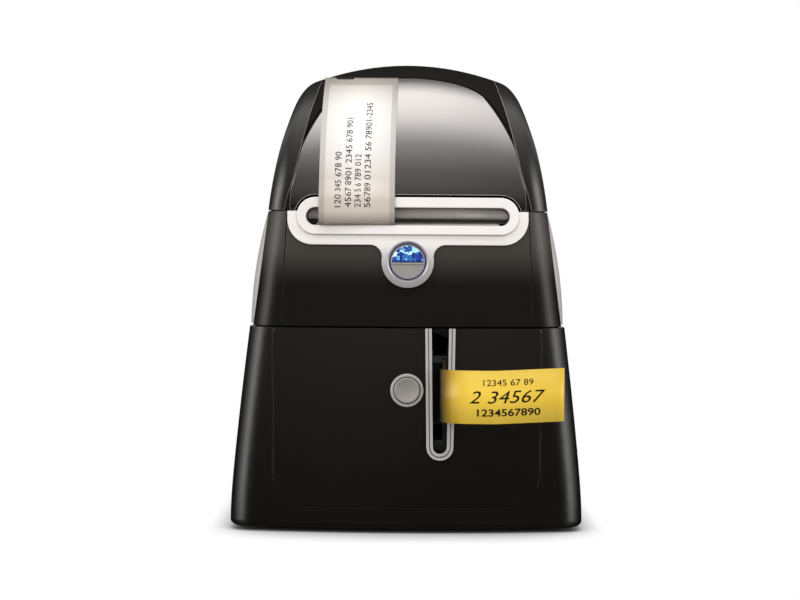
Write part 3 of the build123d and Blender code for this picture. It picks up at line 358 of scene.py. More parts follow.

# ABS, moulded in a polished tool: deep black with clean, slightly wavy reflections, and painted light
# that pales it towards the top
blackAbs = {
    "colour": "161411", "shade": "11100E", "edgeWearAndHighlightColour": "2B2926", "driftMm": 45.0, "edgeMm": 0.35,
    "edgeWearAndHighlightAmount": 0.5, "rough": (0.165, 0.235), "scuffMm": 6.0, "grainMm": 2.4, "relief": (0.08, 0.03),
    "ior": 1.53, "specular": 0.5, "paintedLightByHeight": (5.0, 85.0, "1F1D1A")}
finishes["black_gloss_plastic"] = mouldedPlastic("blackMouldedAbs", blackAbs)

# the same plastic on the upper casing, a little less polished, with painted light that greys it below
# the silver bezel
upperBlack = mouldedPlastic("blackMouldedAbsUpper", {
    **blackAbs, "colour": "1B1916", "shade": "171512", "rough": (0.205, 0.275), "specular": 0.3,
    "paintedLightByHeight": (91.0, 110.0, "46423E")})

# the same ABS from a lightly etched tool, on the dome's top: it hardly mirrors the ceiling
mattBlack = mouldedPlastic("blackEtchedAbs", {
    "colour": "161411", "shade": "100F0D", "edgeWearAndHighlightColour": "24221F", "driftMm": 45.0, "edgeMm": 0.35,
    "edgeWearAndHighlightAmount": 0.4, "rough": (0.47, 0.57), "scuffMm": 5.0, "grainMm": 0.9, "relief": (0.12, 0.02),
    "ior": 1.53, "specular": 0.05})

# ABS with a brown-black tint, satin tool: long soft bands of light down the dome's cheeks, and
# a pale painted highlight along the cheeks' edges in the edge colour
finishes["cheek_plastic"] = mouldedPlastic("smokedMouldedAbs", {
    "colour": "24201C", "shade": "1D1A17", "edgeWearAndHighlightColour": "B5AEA7", "driftMm": 40.0, "edgeMm": 0.5,
    "edgeWearAndHighlightAmount": 0.8, "rough": (0.22, 0.28), "scuffMm": 6.0, "grainMm": 1.6, "relief": (0.05, 0.02),
    "ior": 1.53, "specular": 0.85})

# plain black ABS inside the casing, etched and unpolished
finishes["inner_plastic"] = mouldedPlastic("blackInnerAbs", {
    "colour": "242424", "shade": "1C1C1D", "edgeWearAndHighlightColour": "4A4A4A", "driftMm": 30.0, "edgeMm": 0.3,
    "edgeWearAndHighlightAmount": 0.5, "rough": (0.42, 0.58), "scuffMm": 4.0, "grainMm": 0.7, "relief": (0.25, 0.04),
    "ior": 1.53, "specular": 0.4})

# polypropylene, grey, moulded: a waxy soft shine
finishes["grey_plastic"] = mouldedPlastic("greyMouldedPolypropylene", {
    "colour": "8C8D90", "shade": "7D7E82", "edgeWearAndHighlightColour": "B4B4B6", "driftMm": 25.0, "edgeMm": 0.3,
    "edgeWearAndHighlightAmount": 0.5, "rough": (0.38, 0.52), "scuffMm": 4.0, "grainMm": 0.8, "relief": (0.2, 0.03),
    "ior": 1.49, "specular": 0.5})

# acetal, natural: milky gears with a smooth, slightly oily surface
finishes["gear_plastic"] = mouldedPlastic("naturalAcetal", {
    "colour": "E6E2D4", "shade": "D9D4C2", "edgeWearAndHighlightColour": "F4F1E8", "driftMm": 8.0, "edgeMm": 0.12,
    "edgeWearAndHighlightAmount": 0.4, "rough": (0.28, 0.4), "scuffMm": 2.0, "grainMm": 0.5, "relief": (0.15, 0.01),
    "ior": 1.48, "specular": 0.5})

# nitrile rubber, ground: dull black with a fine powdery grain
finishes["black_rubber"] = mouldedPlastic("groundNitrileRubber", {
    "colour": "1E1D1D", "shade": "262525", "edgeWearAndHighlightColour": "3A3938", "driftMm": 10.0, "edgeMm": 0.3,
    "edgeWearAndHighlightAmount": 0.6, "rough": (0.7, 0.86), "scuffMm": 1.5, "grainMm": 0.35, "relief": (0.4, 0.03),
    "ior": 1.52, "specular": 0.35})

# zinc-plated steel sheet: pale blue-grey, cloudy, with faint rolling lines
finishes["sheet_steel"] = workedMetal("zincPlatedSheet", {
    "colour": "B9BBBD", "shade": "9DA0A4", "edgeWearAndHighlightColour": "DADBDC", "marks": (1.0, 0.08, 1.0), "markMm": 0.4,
    "relief": (0.15, 0.01), "cloudMm": 9.0, "edgeMm": 0.2, "rough": (0.29, 0.43), "metallic": 1.0})

# ground bright steel: shafts, screws and the toothed bar
finishes["bright_steel"] = workedMetal("groundBrightSteel", {
    "colour": "CFCFCE", "shade": "B9B9B9", "edgeWearAndHighlightColour": "ECECEB", "marks": (0.2, 1.0, 1.0), "markMm": 0.25,
    "relief": (0.12, 0.006), "cloudMm": 5.0, "edgeMm": 0.1, "rough": (0.18, 0.3), "metallic": 1.0})

# sintered bronze: a porous warm metal that holds oil
finishes["brass_bush"] = workedMetal("sinteredBronze", {
    "colour": "B08A4C", "shade": "8F6C38", "edgeWearAndHighlightColour": "D2AE6E", "marks": (1.0, 1.0, 1.0), "markMm": 0.3,
    "relief": (0.35, 0.02), "cloudMm": 3.0, "edgeMm": 0.15, "rough": (0.32, 0.52), "metallic": 1.0})

# satin chrome on plastic: the two beads of the slot trim and the ring of the eject button
finishes["trim_metal"] = workedMetal("satinChromePlate", {
    "colour": "CBC6C1", "shade": "BFBAB5", "edgeWearAndHighlightColour": "EAE7E4", "marks": (1.0, 1.0, 0.15), "markMm": 0.5,
    "relief": (0.05, 0.004), "cloudMm": 12.0, "edgeMm": 0.3, "rough": (0.28, 0.38), "metallic": 0.3})

# polished plate on the dish round the feed button
dishPlate = workedMetal("polishedDishPlate", {
    "colour": "F3EFF4", "shade": "E6E1E6", "edgeWearAndHighlightColour": "FFFFFF", "marks": (1.0, 1.0, 1.0), "markMm": 0.5,
    "relief": (0.03, 0.004), "cloudMm": 5.0, "edgeMm": 0.1, "rough": (0.26, 0.34), "metallic": 0.75})

# satin grey paint with fine metal flake: the two push buttons
finishes["button_grey"] = workedMetal("greyFlakePaint", {
    "colour": "C3BEB9", "shade": "B3AEA9", "edgeWearAndHighlightColour": "D9D5D1", "marks": (1.0, 1.0, 1.0), "markMm": 0.18,
    "relief": (0.12, 0.006), "cloudMm": 6.0, "edgeMm": 0.3, "rough": (0.32, 0.44), "metallic": 0.45})


def silverPaint(look):
    # Silver paint with fine aluminium flake over moulded ABS: pale and soft, warmer where thin
    material, tree, shader, coords = startMaterial("silverFlakePaint", {"Metallic": 0.05})
    mist, body = clouded(tree, coords, 14.0, 3.0, "F8F4F1", "F0EBE7")
    flake = addNode(tree, "TexVoronoi", {"Vector": coords, "Scale": perMetre(look["flakeMm"])})
    spark = addNode(tree, "MapRange", {"Value": flake, "From Max": 0.6, "To Min": 0.94, "To Max": 1.04})
    flaked = addNode(tree, "VectorMath", {0: body, "Scale": spark}, operation="SCALE")
    rounded = addNode(tree, "Bevel", {"Radius": 0.55 * mm}, samples=6)
    # painted shade: the lobe round the button turns down to the dark casing and loses light, so its colour
    # is darkened lower down
    lobe = curve(tree, heightOf(tree, coords), look["lobe"])
    # painted shade in creases and grooves
    toned = addNode(tree, "VectorMath", {
        0: paintedCreaseShade(tree, flaked, reachMm=1.3, dark=0.35), 1: lobe}, operation="MULTIPLY")
    dressShader(tree, shader, toned, mist, (0.30, 0.40), flake, (0.06, 0.01), rounded)
    return material


def sidePaint():
    # Light grey satin paint on the side panels: an even coat with a faint orange peel
    material, tree, shader, coords = startMaterial("lightGreySatinPaint", {"Metallic": 0.1})
    body = clouded(tree, coords, 30.0, 2.0, "C3C2C1", "B6B5B4")[1]
    peel = addNode(tree, "TexNoise", {"Vector": coords, "Scale": perMetre(1.1), "Detail": 1.0})
    rounded = addNode(tree, "Bevel", {"Radius": 0.8 * mm}, samples=4)
    dressShader(tree, shader, body, peel, (0.36, 0.46), peel, (0.12, 0.02), rounded)
    return material


def smokedMirror(look):
    # Smoked acrylic, polished and mirror-coated behind: a dark mirror that carries the room
    material, tree, shader, coords = startMaterial("smokedMirrorAcrylic", {"Specular IOR Level": 0.15})
    haze, body = clouded(tree, coords, 35.0, 2.0, "FAF5F2", "F2ECE8")
    wipe = addNode(tree, "TexNoise", {"Vector": coords, "Scale": perMetre(5.0), "Detail": 5.0})
    rounded = addNode(tree, "Bevel", {"Radius": 0.4 * mm}, samples=4)
    # its printed black border, where it lies farther out than a line that bends in with height
    parts = addNode(tree, "SeparateXYZ", {"Vector": coords})
    out = addNode(tree, "Math", {0: parts.outputs["X"]}, operation="ABSOLUTE")
    up = addNode(tree, "Math", {0: heightOf(tree, coords), 1: look["borderZ"]}, operation="SUBTRACT")
    bend = addNode(tree, "Math", {
        0: up, 1: look["borderBend"], 2: look["borderLean"]}, operation="MULTIPLY_ADD")
    inward = addNode(tree, "Math", {0: up, 1: bend}, operation="MULTIPLY")
    over = addNode(tree, "Math", {0: out, 1: 1 / mm, 2: inward}, operation="MULTIPLY_ADD")
    border = addNode(tree, "MapRange", {
        "Value": over, "From Min": look["borderX"], "From Max": look["borderX"] + look["borderSoft"]})
    clear = addNode(tree, "Math", {0: 1.0, 1: border}, operation="SUBTRACT")
    seen = addNode(tree, "Mix", {0: border, 6: body, 7: hexColour(look["border"])}, data_type="RGBA")
    rough = dressShader(tree, shader, seen.outputs[2], wipe, (0.13, 0.17), haze, (0.02, 0.02), rounded)
    matt = addNode(tree, "Math", {0: border, 1: look["borderMatt"], 2: rough}, operation="MULTIPLY_ADD")
    feed(tree, matt, shader.inputs["Roughness"])
    feed(tree, clear, shader.inputs["Metallic"])
    return material


def glowPaintedLens(look):
    # Clear blue polycarbonate, cut in facets, with a painted glow that stands in for light from behind:
    # deep blue with icy painted glints
    material, tree, shader, coords = startMaterial(
        "bluePolycarbonatePaintedGlow", {"IOR": 1.58, "Emission Strength": 0.5})
    swirl = addNode(tree, "TexNoise", {"Vector": coords, "Scale": perMetre(1.6), "Detail": 3.0})
    bent = addNode(tree, "VectorMath", {0: swirl.outputs["Color"], 1: toMetres(*[look["swirlMm"]] * 3),
                                        2: coords}, operation="MULTIPLY_ADD")
    cells = addNode(tree, "TexVoronoi", {
        "Vector": bent, "Smoothness": 0.2, "Scale": perMetre(look["flashMm"])}, feature="SMOOTH_F1")
    tone = addNode(tree, "SeparateColor", {"Color": cells.outputs["Color"]})
    ramp = addNode(tree, "ValToRGB", {"Fac": tone.outputs["Red"]})
    stops = ramp.color_ramp.elements
    for stop, code in zip(stops, look["ends"]):
        stop.color = hexColour(code)
    for place, code in look["between"]:
        stops.new(place).color = hexColour(code)
    glint = addNode(tree, "TexNoise", {"Vector": coords, "Scale": perMetre(0.9), "Detail": 3.0})
    dressShader(tree, shader, ramp, glint, (0.03, 0.14), glint, (0.25, 0.05))
    feed(tree, ramp, shader.inputs["Emission Color"])
    return material


def paintedGlowRing():
    # Light guide around the button with a painted glow: its emission stands in for the button's blue light
    # leaking out violet at the rim
    material, tree, shader, coords = startMaterial("violetGuidePaintedGlow", {"Emission Strength": 0.25})
    leak, tone = clouded(tree, coords, 3.0, 2.0, "3A2F66", "6A5C96")
    dressShader(tree, shader, tone, leak, (0.2, 0.35), leak, (0.1, 0.02))
    feed(tree, tone, shader.inputs["Emission Color"])
    return material


def yellowTape(look):
    # Laminated polyester tape: yellow ink under a clear satin film with a faint crosswise weave
    material, tree, shader, coords = startMaterial(
        "yellowLaminatedPolyester", {"IOR": 1.57, "Coat Weight": 0.3, "Coat Roughness": 0.25})
    body = clouded(tree, coords, 9.0, 3.0, "FCD748", "F5CC40")[1]
    stretch = addNode(tree, "Mapping", {"Vector": coords, "Scale": (1, 1, 0.1)})
    film = addNode(tree, "TexNoise", {"Vector": stretch, "Scale": perMetre(1.2), "Detail": 2.0})
    # painted shade and light: brown in the slot's shade, then a pale painted sheen where the bend faces
    # the light, and darker towards the top edge
    across = addNode(tree, "SeparateXYZ", {"Vector": coords})
    paintedShadeAndSheen = [(place * mm, code) for place, code in look["paintedShadeAndSheen"]]
    evened = addNode(tree, "VectorMath", {
        0: curve(tree, across.outputs["X"], paintedShadeAndSheen),
        1: curve(tree, heightOf(tree, coords), look["edges"])}, operation="MULTIPLY")
    lit = addNode(tree, "VectorMath", {0: body, 1: evened}, operation="MULTIPLY")
    dressShader(tree, shader, lit, film, (0.30, 0.42), film, (0.12, 0.03))
    return material


# painted shade on the strip by its height: warm and dark in the exit's shade, and greyer where it leans
# away on top
paperShadeByHeight = ((114.5, "8B837B"), (117.0, "A79D95"), (120.0, "D2C8C0"), (126.0, "DDD5CE"),
                 (145.0, "F1EFED"), (160.0, "F6F4F2"), (167.0, "DFDBD7"), (172.5, "BFB9B4"))


def paper(name, look):
    # Paper, calendered: short pale fibres in the colour and relief, nearly no shine
    material, tree, shader, coords = startMaterial(
        name, {"IOR": 1.5, "Specular IOR Level": look["specular"]})
    fibre, body = clouded(tree, coords, look["fibreMm"], 6.0, look["colour"], look["shade"], fleck=0.7)
    # painted shade: the paper's colour is darkened by its height, in the exit and where it leans away on
    # top
    shaded = addNode(tree, "VectorMath", {
        0: body, 1: curve(tree, heightOf(tree, coords), paperShadeByHeight)}, operation="MULTIPLY")
    dressShader(tree, shader, shaded, fibre, look["rough"], fibre, look["relief"])
    return material


def woundPaper(look):
    # The roll's ends show the edges of every turn: fine rings round the spool, white and liner grey
    material, tree, shader, coords = startMaterial("woundLabelPaper")
    centre = addNode(tree, "VectorMath", {
        0: coords, 1: toMetres(0, look["y"], look["z"])}, operation="SUBTRACT")
    flat = addNode(tree, "VectorMath", {0: centre, 1: (0, 1, 1)}, operation="MULTIPLY")
    reach = addNode(tree, "VectorMath", {0: flat}, operation="LENGTH")
    wobble = addNode(tree, "TexNoise", {"Vector": coords, "Scale": perMetre(18.0), "Detail": 2.0})
    bent = addNode(tree, "Math", {
        0: wobble, 1: look["wobbleMm"] * mm, 2: reach.outputs["Value"]}, operation="MULTIPLY_ADD")
    turns = addNode(tree, "Math", {
        0: bent, 1: 2 * math.pi * perMetre(look["turnMm"])}, operation="MULTIPLY")
    ring = addNode(tree, "Math", {0: turns}, operation="SINE")
    tone = addNode(tree, "MapRange", {"Value": ring, "From Min": -1.0})
    body = addNode(tree, "Mix", {
        0: tone, 6: hexColour("F2F1EE"), 7: hexColour("D2D0CA")}, data_type="RGBA")
    dressShader(tree, shader, body.outputs[2], wobble, (0.6, 0.75), tone, (0.3, 0.03))
    return material


def circuitBoard(look):
    # Glass-epoxy board with green mask; what stands on it is black or grey parts with pale marks
    material, tree, shader, coords = startMaterial("greenMaskedGlassEpoxy")
    parts = addNode(tree, "SeparateXYZ", {"Vector": coords})
    above = addNode(tree, "Math", {
        0: parts.outputs["Z"], 1: look["boardTop"] * mm}, operation="GREATER_THAN")
    tracks = addNode(tree, "TexBrick", {
        "Vector": coords, "Scale": perMetre(1.0), "Mortar Size": 0.08, "Brick Width": 7.0,
        "Row Height": 1.6, "Color1": hexColour("1F5A33"), "Color2": hexColour("1A4D2C"),
        "Mortar": hexColour("3C8450")}, offset=0.5, squash=1.0)
    chips, black = clouded(tree, coords, 6.0, 3.0, "1C1C1E", "2A2A2C")
    body = addNode(tree, "Mix", {0: above, 6: tracks.outputs["Color"], 7: black}, data_type="RGBA")
    dressShader(tree, shader, body.outputs[2], chips, (0.28, 0.45), tracks.outputs["Fac"], (0.3, 0.04))
    return material


# real flake is 0.03 mm: drawn coarse
finishes["silver_plastic"] = silverPaint({
    "flakeMm": 0.25,
    "lobe": ((90.0, 0.30), (95.0, 0.36), (101.0, 0.50), (106.0, 0.82), (109.0, 1.0), (130.0, 1.0))})
finishes["grey_panel"] = sidePaint()
finishes["window_plastic"] = smokedMirror({
    "borderX": 41.6, "borderZ": 140.0, "borderLean": 0.30, "borderBend": 0.0082,
    "borderSoft": 0.15, "border": "161411", "borderMatt": 0.3})
finishes["blue_lens"] = glowPaintedLens({
    "swirlMm": 3.0, "flashMm": 1.5, "ends": ("1A2560", "DDF5F7"),
    "between": ((0.40, "26408C"), (0.58, "3470AA"), (0.72, "9AD2E2"))})
# painted shade and sheen on the tape by its place to the right of the slot, and painted shade towards its
# top edge by its height
finishes["yellow_tape"] = yellowTape({
    "paintedShadeAndSheen": ((12.4, "3A352E"), (14.2, "928A80"), (16.2, "CFC8BE"), (19.0, "F0EBE2"),
              (23.5, "FFFFFF"), (27.0, "FFFFFF"), (60.0, "F4F0EA")),
    "edges": ((41.0, 1.0), (48.0, 1.0), (55.0, 0.86), (63.0, 0.76))})
finishes["board_green"] = circuitBoard({"boardTop": 9.65})
# glazed alumina: the thermal head's smooth off-white strip
finishes["ceramic_head"] = mouldedPlastic("glazedAlumina", {
    "colour": "DDD8C8", "shade": "CFC8B4", "edgeWearAndHighlightColour": "F0EDE2", "driftMm": 12.0, "edgeMm": 0.2,
    "edgeWearAndHighlightAmount": 0.4, "rough": (0.13, 0.23), "scuffMm": 3.0, "grainMm": 0.6, "relief": (0.1, 0.01),
    "ior": 1.7, "specular": 0.5})
# real turns are 0.2 mm: drawn coarse
finishes["label_paper"] = woundPaper({"y": 24.0, "z": 126.0, "turnMm": 0.9, "wobbleMm": 0.6})
# glassine liner: supercalendered, a little grey and slick
linerPaper = paper("glassineLiner", {"colour": "DAD7D2", "shade": "CFCBC6", "fibreMm": 1.4,
                                     "rough": (0.4, 0.52), "relief": (0.08, 0.02), "specular": 0.5})
# thermal label: coated white paper with a soft shine
labelPaper = paper("coatedThermalPaper", {"colour": "F7F5F2", "shade": "F0EDE9", "fibreMm": 1.1,
                                          "rough": (0.5, 0.62), "relief": (0.08, 0.02), "specular": 0.4})
# heat-developed black: sits in the coating, as matt as the paper
thermalInk = paper("thermalBlack", {"colour": "2A2725", "shade": "37332F", "fibreMm": 0.7,
                                    "rough": (0.54, 0.66), "relief": (0.05, 0.02), "specular": 0.3})
violetGuide = paintedGlowRing()

ownFinish = {"cover_shell": mattBlack, "housing_shell": upperBlack, "front_fascia": upperBlack,
             "tear_bar": finishes["trim_metal"]}
for node, item in frame["nodes"].items():
    finish = ownFinish.get(node, finishes[slotOfNode[node]])
    item.data.materials.clear()
    item.data.materials.append(finish)
print("materials:", len(bpy.data.materials))


# pieces made here, in the same place as the nodes that they stand for
def newPiece(name, points, faces, material, body, slotName, smooth=True):
    mesh = bpy.data.meshes.new(name)
    mesh.from_pydata([toMetres(*point) for point in points], [], faces)
    mesh.validate()
    mesh.update()
    for face in mesh.polygons:
        face.use_smooth = smooth
    mesh.materials.append(material)
    piece = addObject(name, mesh)
    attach(piece, body)
    return piece


def arcLine(a, b, radius, start, stop, count):
    turns = [math.radians(start + (stop - start) * step / count) for step in range(count + 1)]
    return [(a + radius * math.cos(turn), b + radius * math.sin(turn)) for turn in turns]


def alongLine(line):
    # distance from the first point to each point of a line
    lengths = [0.0]
    for (a0, b0), (a1, b1) in zip(line, line[1:]):
        lengths.append(lengths[-1] + math.hypot(a1 - a0, b1 - b0))
    return lengths


def pointAt(line, lengths, distance, lift):
    # the point at a distance along the line, lifted off it to the left
    distance = min(max(distance, 0.0), lengths[-1] - 1e-6)
    index = max(i for i, length in enumerate(lengths[:-1]) if length <= distance)
    (a0, b0), (a1, b1) = line[index], line[index + 1]
    part = (distance - lengths[index]) / (lengths[index + 1] - lengths[index])
    before = line[max(index - 1, 0)]
    after = line[min(index + 2, len(line) - 1)]
    start = math.atan2(b1 - before[1], a1 - before[0])
    turn = math.atan2(after[1] - b0, after[0] - a0) - start
    turn = start + (turn + math.pi) % (2 * math.pi) * part - math.pi * part
    return (a0 + (a1 - a0) * part - lift * math.sin(turn), b0 + (b1 - b0) * part + lift * math.cos(turn))


def figures(text, look):
    # a line of plain figures in the built-in font, as flat faces whose height and width are given
    lettering = bpy.data.curves.new("figures", "FONT")
    lettering.body = text
    lettering.size = 1.0
    lettering.shear = look.get("slant", 0.0)
    lettering.offset = look.get("weight", 0.0)
    lettering.resolution_u = 3
    holder = addObject("figures", lettering)
    shown = holder.evaluated_get(bpy.context.evaluated_depsgraph_get())
    mesh = bpy.data.meshes.new_from_object(shown)
    # cut into narrow columns, so that the figures can follow a bend
    columnWidth = 0.7
    sheet = bmesh.new()
    sheet.from_mesh(mesh)
    left, right = [edge(vertex.co.x for vertex in sheet.verts) for edge in (min, max)]
    columns = round(look["width"] / columnWidth)
    for column in range(1, columns):
        bmesh.ops.bisect_plane(sheet, geom=sheet.verts[:] + sheet.edges[:] + sheet.faces[:],
                               plane_co=(left + (right - left) * column / columns, 0, 0),
                               plane_no=(1, 0, 0))
    sheet.to_mesh(mesh)
    sheet.free()
    points = [tuple(vertex.co[:2]) for vertex in mesh.vertices]
    faces = [list(face.vertices) for face in mesh.polygons]
    bpy.data.objects.remove(holder)
    bpy.data.curves.remove(lettering)
    bpy.data.meshes.remove(mesh)
    lowX, highX = min(p[0] for p in points), max(p[0] for p in points)
    lowY, highY = min(p[1] for p in points), max(p[1] for p in points)
    wide = look["width"] / (highX - lowX)
    high = look["height"] / (highY - lowY)
    return [((x - lowX) * wide, (y - lowY) * high) for x, y in points], faces


# the printed strip: liner off the roll, over the platen, out of the slot and up the dome
labelStrip = {
    "left": -33.4, "right": -5.0, "thick": 0.2,
    "spoolY": 24.0, "spoolZ": 126.0, "rollRadius": 36.4, "rollTurn": (-168, -180),
    "platenY": -54.0, "platenZ": 108.5, "platenRadius": 7.2, "platenRun": 5,
    "exit": ((-71.0, 116.2), (-74.4, 116.17), (-75.4, 115.9), (-76.3, 115.4)),
    "lipY": -78.3, "lipZ": 116.15, "lipRadius": 1.0, "lipTop": 121.5,
    "leaveY": -78.25, "leaveZ": 124.5, "lean": 1.0, "leanFrom": 125.0, "leanOver": 47.0,
    "domeY": 10.0, "domeZ": 120.6, "domeRun": 85.6, "domeRise": 60.8, "joinDegrees": 168.0,
    "endY": -33.8, "labelStart": -64, "labelLeft": -31.3, "labelRight": -7.0, "labelCorner": 1.6,
    "labelLift": 0.07, "sink": 0.02, "topMargin": 6.8,
    "notchLeft": -29.2, "notchRight": -22.2, "notchDepth": 2.0, "notchSlant": 0.7, "inkLift": 0.05,
}


def stripLine(s):
    toSpool = (s["spoolY"] - s["platenY"], s["spoolZ"] - s["platenZ"])
    toward = math.degrees(math.atan2(toSpool[1], toSpool[0]))
    cross = math.degrees(math.acos((s["platenRadius"] + s["rollRadius"]) / math.hypot(*toSpool)))
    # off the roll, round the platen, out through the exit and up from the lip
    line = arcLine(s["spoolY"], s["spoolZ"], s["rollRadius"], toward + s["rollTurn"][0] + cross,
                   toward + s["rollTurn"][1] + cross, 8)
    line += arcLine(s["platenY"], s["platenZ"], s["platenRadius"], toward + cross, 90, 12)
    line += [(s["platenY"] - s["platenRun"], s["platenZ"] + s["platenRadius"]), *s["exit"]]
    line += arcLine(s["lipY"] + s["lipRadius"], s["lipZ"], s["lipRadius"], 270, 180, 12)
    line += [(s["lipY"], s["lipTop"])]
    # back to the dome in a smooth bend, and along it to the free end
    turn = math.radians(s["joinDegrees"])
    join = (s["domeY"] + s["domeRun"] * math.cos(turn), s["domeZ"] + s["domeRise"] * math.sin(turn))
    for step in range(12):
        part = step / 12
        smooth = part * part * (3 - 2 * part)
        line.append((s["leaveY"] + (join[0] - s["leaveY"]) * smooth,
                     s["leaveZ"] + (join[1] - s["leaveZ"]) * part))
    end = math.degrees(math.acos((s["endY"] - s["domeY"]) / s["domeRun"]))
    for step in range(37):
        turn = math.radians(s["joinDegrees"] + (end - s["joinDegrees"]) * step / 36)
        line.append((s["domeY"] + s["domeRun"] * math.cos(turn),
                     s["domeZ"] + s["domeRise"] * math.sin(turn)))
    return line


def newBand(name, rows, *dress):
    # a thin closed band from rows of (front left, front right, back right, back left) points
    points = [point for row in rows for point in row]
    faces = [[0, 1, 2, 3]]
    for index in range(len(rows) - 1):
        low, high = 4 * index, 4 * index + 4
        for side in range(4):
            after = (side + 1) % 4
            faces.append([low + side, high + side, high + after, low + after])
    last = 4 * (len(rows) - 1)
    faces.append([last + 3, last + 2, last + 1, last])
    return newPiece(name, points, faces, *dress)


def bandRow(line, lengths, distance, sides, lifts):
    # the four points of a band that stands across the YZ plane, at a distance along its line
    (frontY, frontZ), (backY, backZ) = [pointAt(line, lengths, distance, lift) for lift in lifts]
    left, right = sides
    return [(left, frontY, frontZ), (right, frontY, frontZ), (right, backY, backZ), (left, backY, backZ)]


def leanAt(s, z):
    # the free end stands a little to the right
    part = min(max((z - s["leanFrom"]) / s["leanOver"], 0.0), 1.0)
    return s["lean"] * part * part


def buildStrip(s):
    line = stripLine(s)
    lengths = alongLine(line)
    half = s["thick"] / 2
    rows = []
    for distance in lengths:
        y, z = pointAt(line, lengths, distance, half)
        lean = leanAt(s, z) if y < s["endY"] + 1 else 0.0  # what lies on the roll stays straight
        sides = (s["left"] + lean, s["right"] + lean)
        rows.append(bandRow(line, lengths, distance, sides, (half, -half)))
    liner = newBand("label_liner", rows, linerPaper, "base", "label_paper")
    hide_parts("label_strip")
    # the die-cut label on it, with round corners, from inside the slot to below the liner's end
    top = lengths[-1] - s["topMargin"]
    bottom = next(l for l, (y, z) in zip(lengths, line) if y < s["labelStart"])
    corner = s["labelCorner"]
    stops = sorted({bottom, top} | {l for l in lengths if bottom < l < top - corner}
                   | {top - corner * (1 - math.cos(math.radians(a))) for a in range(0, 91, 15)})
    rows = []
    for distance in stops:
        near = max(0.0, distance - (top - corner))
        inset = corner - math.sqrt(max(corner * corner - near * near, 0.0))
        row = []
        for lift, order in ((half + s["labelLift"], 1), (half - s["sink"], -1)):
            y, z = pointAt(line, lengths, distance, lift)
            lean = leanAt(s, z)
            row += [(s["labelLeft"] + inset + lean, y, z), (s["labelRight"] - inset + lean, y, z)][::order]
        rows.append(row)
    label = newBand("printed_label", rows, labelPaper, "base", "label_paper")
    # index mark at the liner's end
    rows = []
    for distance in (lengths[-1] - s["notchDepth"], lengths[-1] - s["notchDepth"] / 2, lengths[-1]):
        inset = s["notchSlant"] if distance == lengths[-1] - s["notchDepth"] else 0.0
        sides = (s["notchLeft"] + inset + s["lean"], s["notchRight"] - inset + s["lean"])
        rows.append(bandRow(line, lengths, distance, sides, (half + s["inkLift"], half - s["sink"])))
    mark = newBand("index_mark", rows, thermalInk, "base", "label_paper")
    return line, lengths, [liner, label, mark]


# four lines of plain figures up the label, one above the other when read from the side
labelLines = {
    "startY": -76, "startZ": 116.2, "height": 2.35, "baselines": (-25.2, -21.3, -17.7, -14.1),
    "texts": (("120 345 678 90", 23.0), ("4567 8901 2345 678 901", 39.6),
              ("234 5 6 789 012", 22.0), ("56789 01234 56 78901-2345", 49.0)),
}


def printLabel(s, lines, line, lengths):
    start = next(l for l, (y, z) in zip(lengths, line) if y < lines["startY"] and z > lines["startZ"])
    points, faces = [], []
    for (text, width), baseline in zip(lines["texts"], lines["baselines"]):
        flat, cells = figures(text, {"width": width, "height": lines["height"]})
        first = len(points)
        for along, up in flat:
            y, z = pointAt(line, lengths, start + along, s["thick"] / 2 + s["labelLift"] + s["inkLift"])
            points.append((baseline - up + leanAt(s, z), y, z))
        faces += [[first + corner for corner in cell] for cell in cells]
    return newPiece("label_figures", points, faces, thermalInk, "base", "label_paper", smooth=False)


stripPath, stripLengths, stripPieces = buildStrip(labelStrip)
stripPieces.append(printLabel(labelStrip, labelLines, stripPath, stripLengths))
for piece in stripPieces:
    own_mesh(piece)
print("label strip printed")

# the yellow tape: out of the drawer slot, one loose bend to the right, cut square
tapeBand = {
    "slotX": 12.4, "startY": -48.3, "bendY": -80.5, "bend": 13.0, "stopDegrees": 262.0,
    "endX": 57.8, "endY": -93.0, "sag": 2.5, "rise": 1.2, "riseFrom": 20, "low": 41.9, "high": 61.5,
    "thick": 0.2, "inkLift": 0.05,
}
tapeLines = (
    {"text": "12345 67 89", "centre": 37.2, "baseZ": 55.9, "width": 18.4, "height": 2.3},
    {"text": "2 34567", "centre": 36.9, "baseZ": 49.4, "width": 28.0, "height": 4.6, "slant": 0.28},
    {"text": "1234567890", "centre": 37.4, "baseZ": 44.6, "width": 23.3, "height": 2.8, "weight": 0.018},
)


def tapeLine(t):
    line = [(t["slotX"], t["startY"] + (t["bendY"] - t["startY"]) * step / 6) for step in range(7)]
    line += arcLine(t["slotX"] + t["bend"], t["bendY"], t["bend"], 180, t["stopDegrees"], 32)[1:]
    lastX, lastY = line[-1]
    for step in range(1, 17):
        part = step / 16
        line.append((lastX + (t["endX"] - lastX) * part,
                     lastY + (t["endY"] - lastY) * part + t["sag"] * part * (part - 1)))
    return line


def tapeLift(t, x):
    # the free end has curled up a little
    part = (x - t["slotX"] - t["riseFrom"]) / (t["endX"] - t["slotX"] - t["riseFrom"])
    return t["rise"] * min(max(part, 0.0), 1.0)


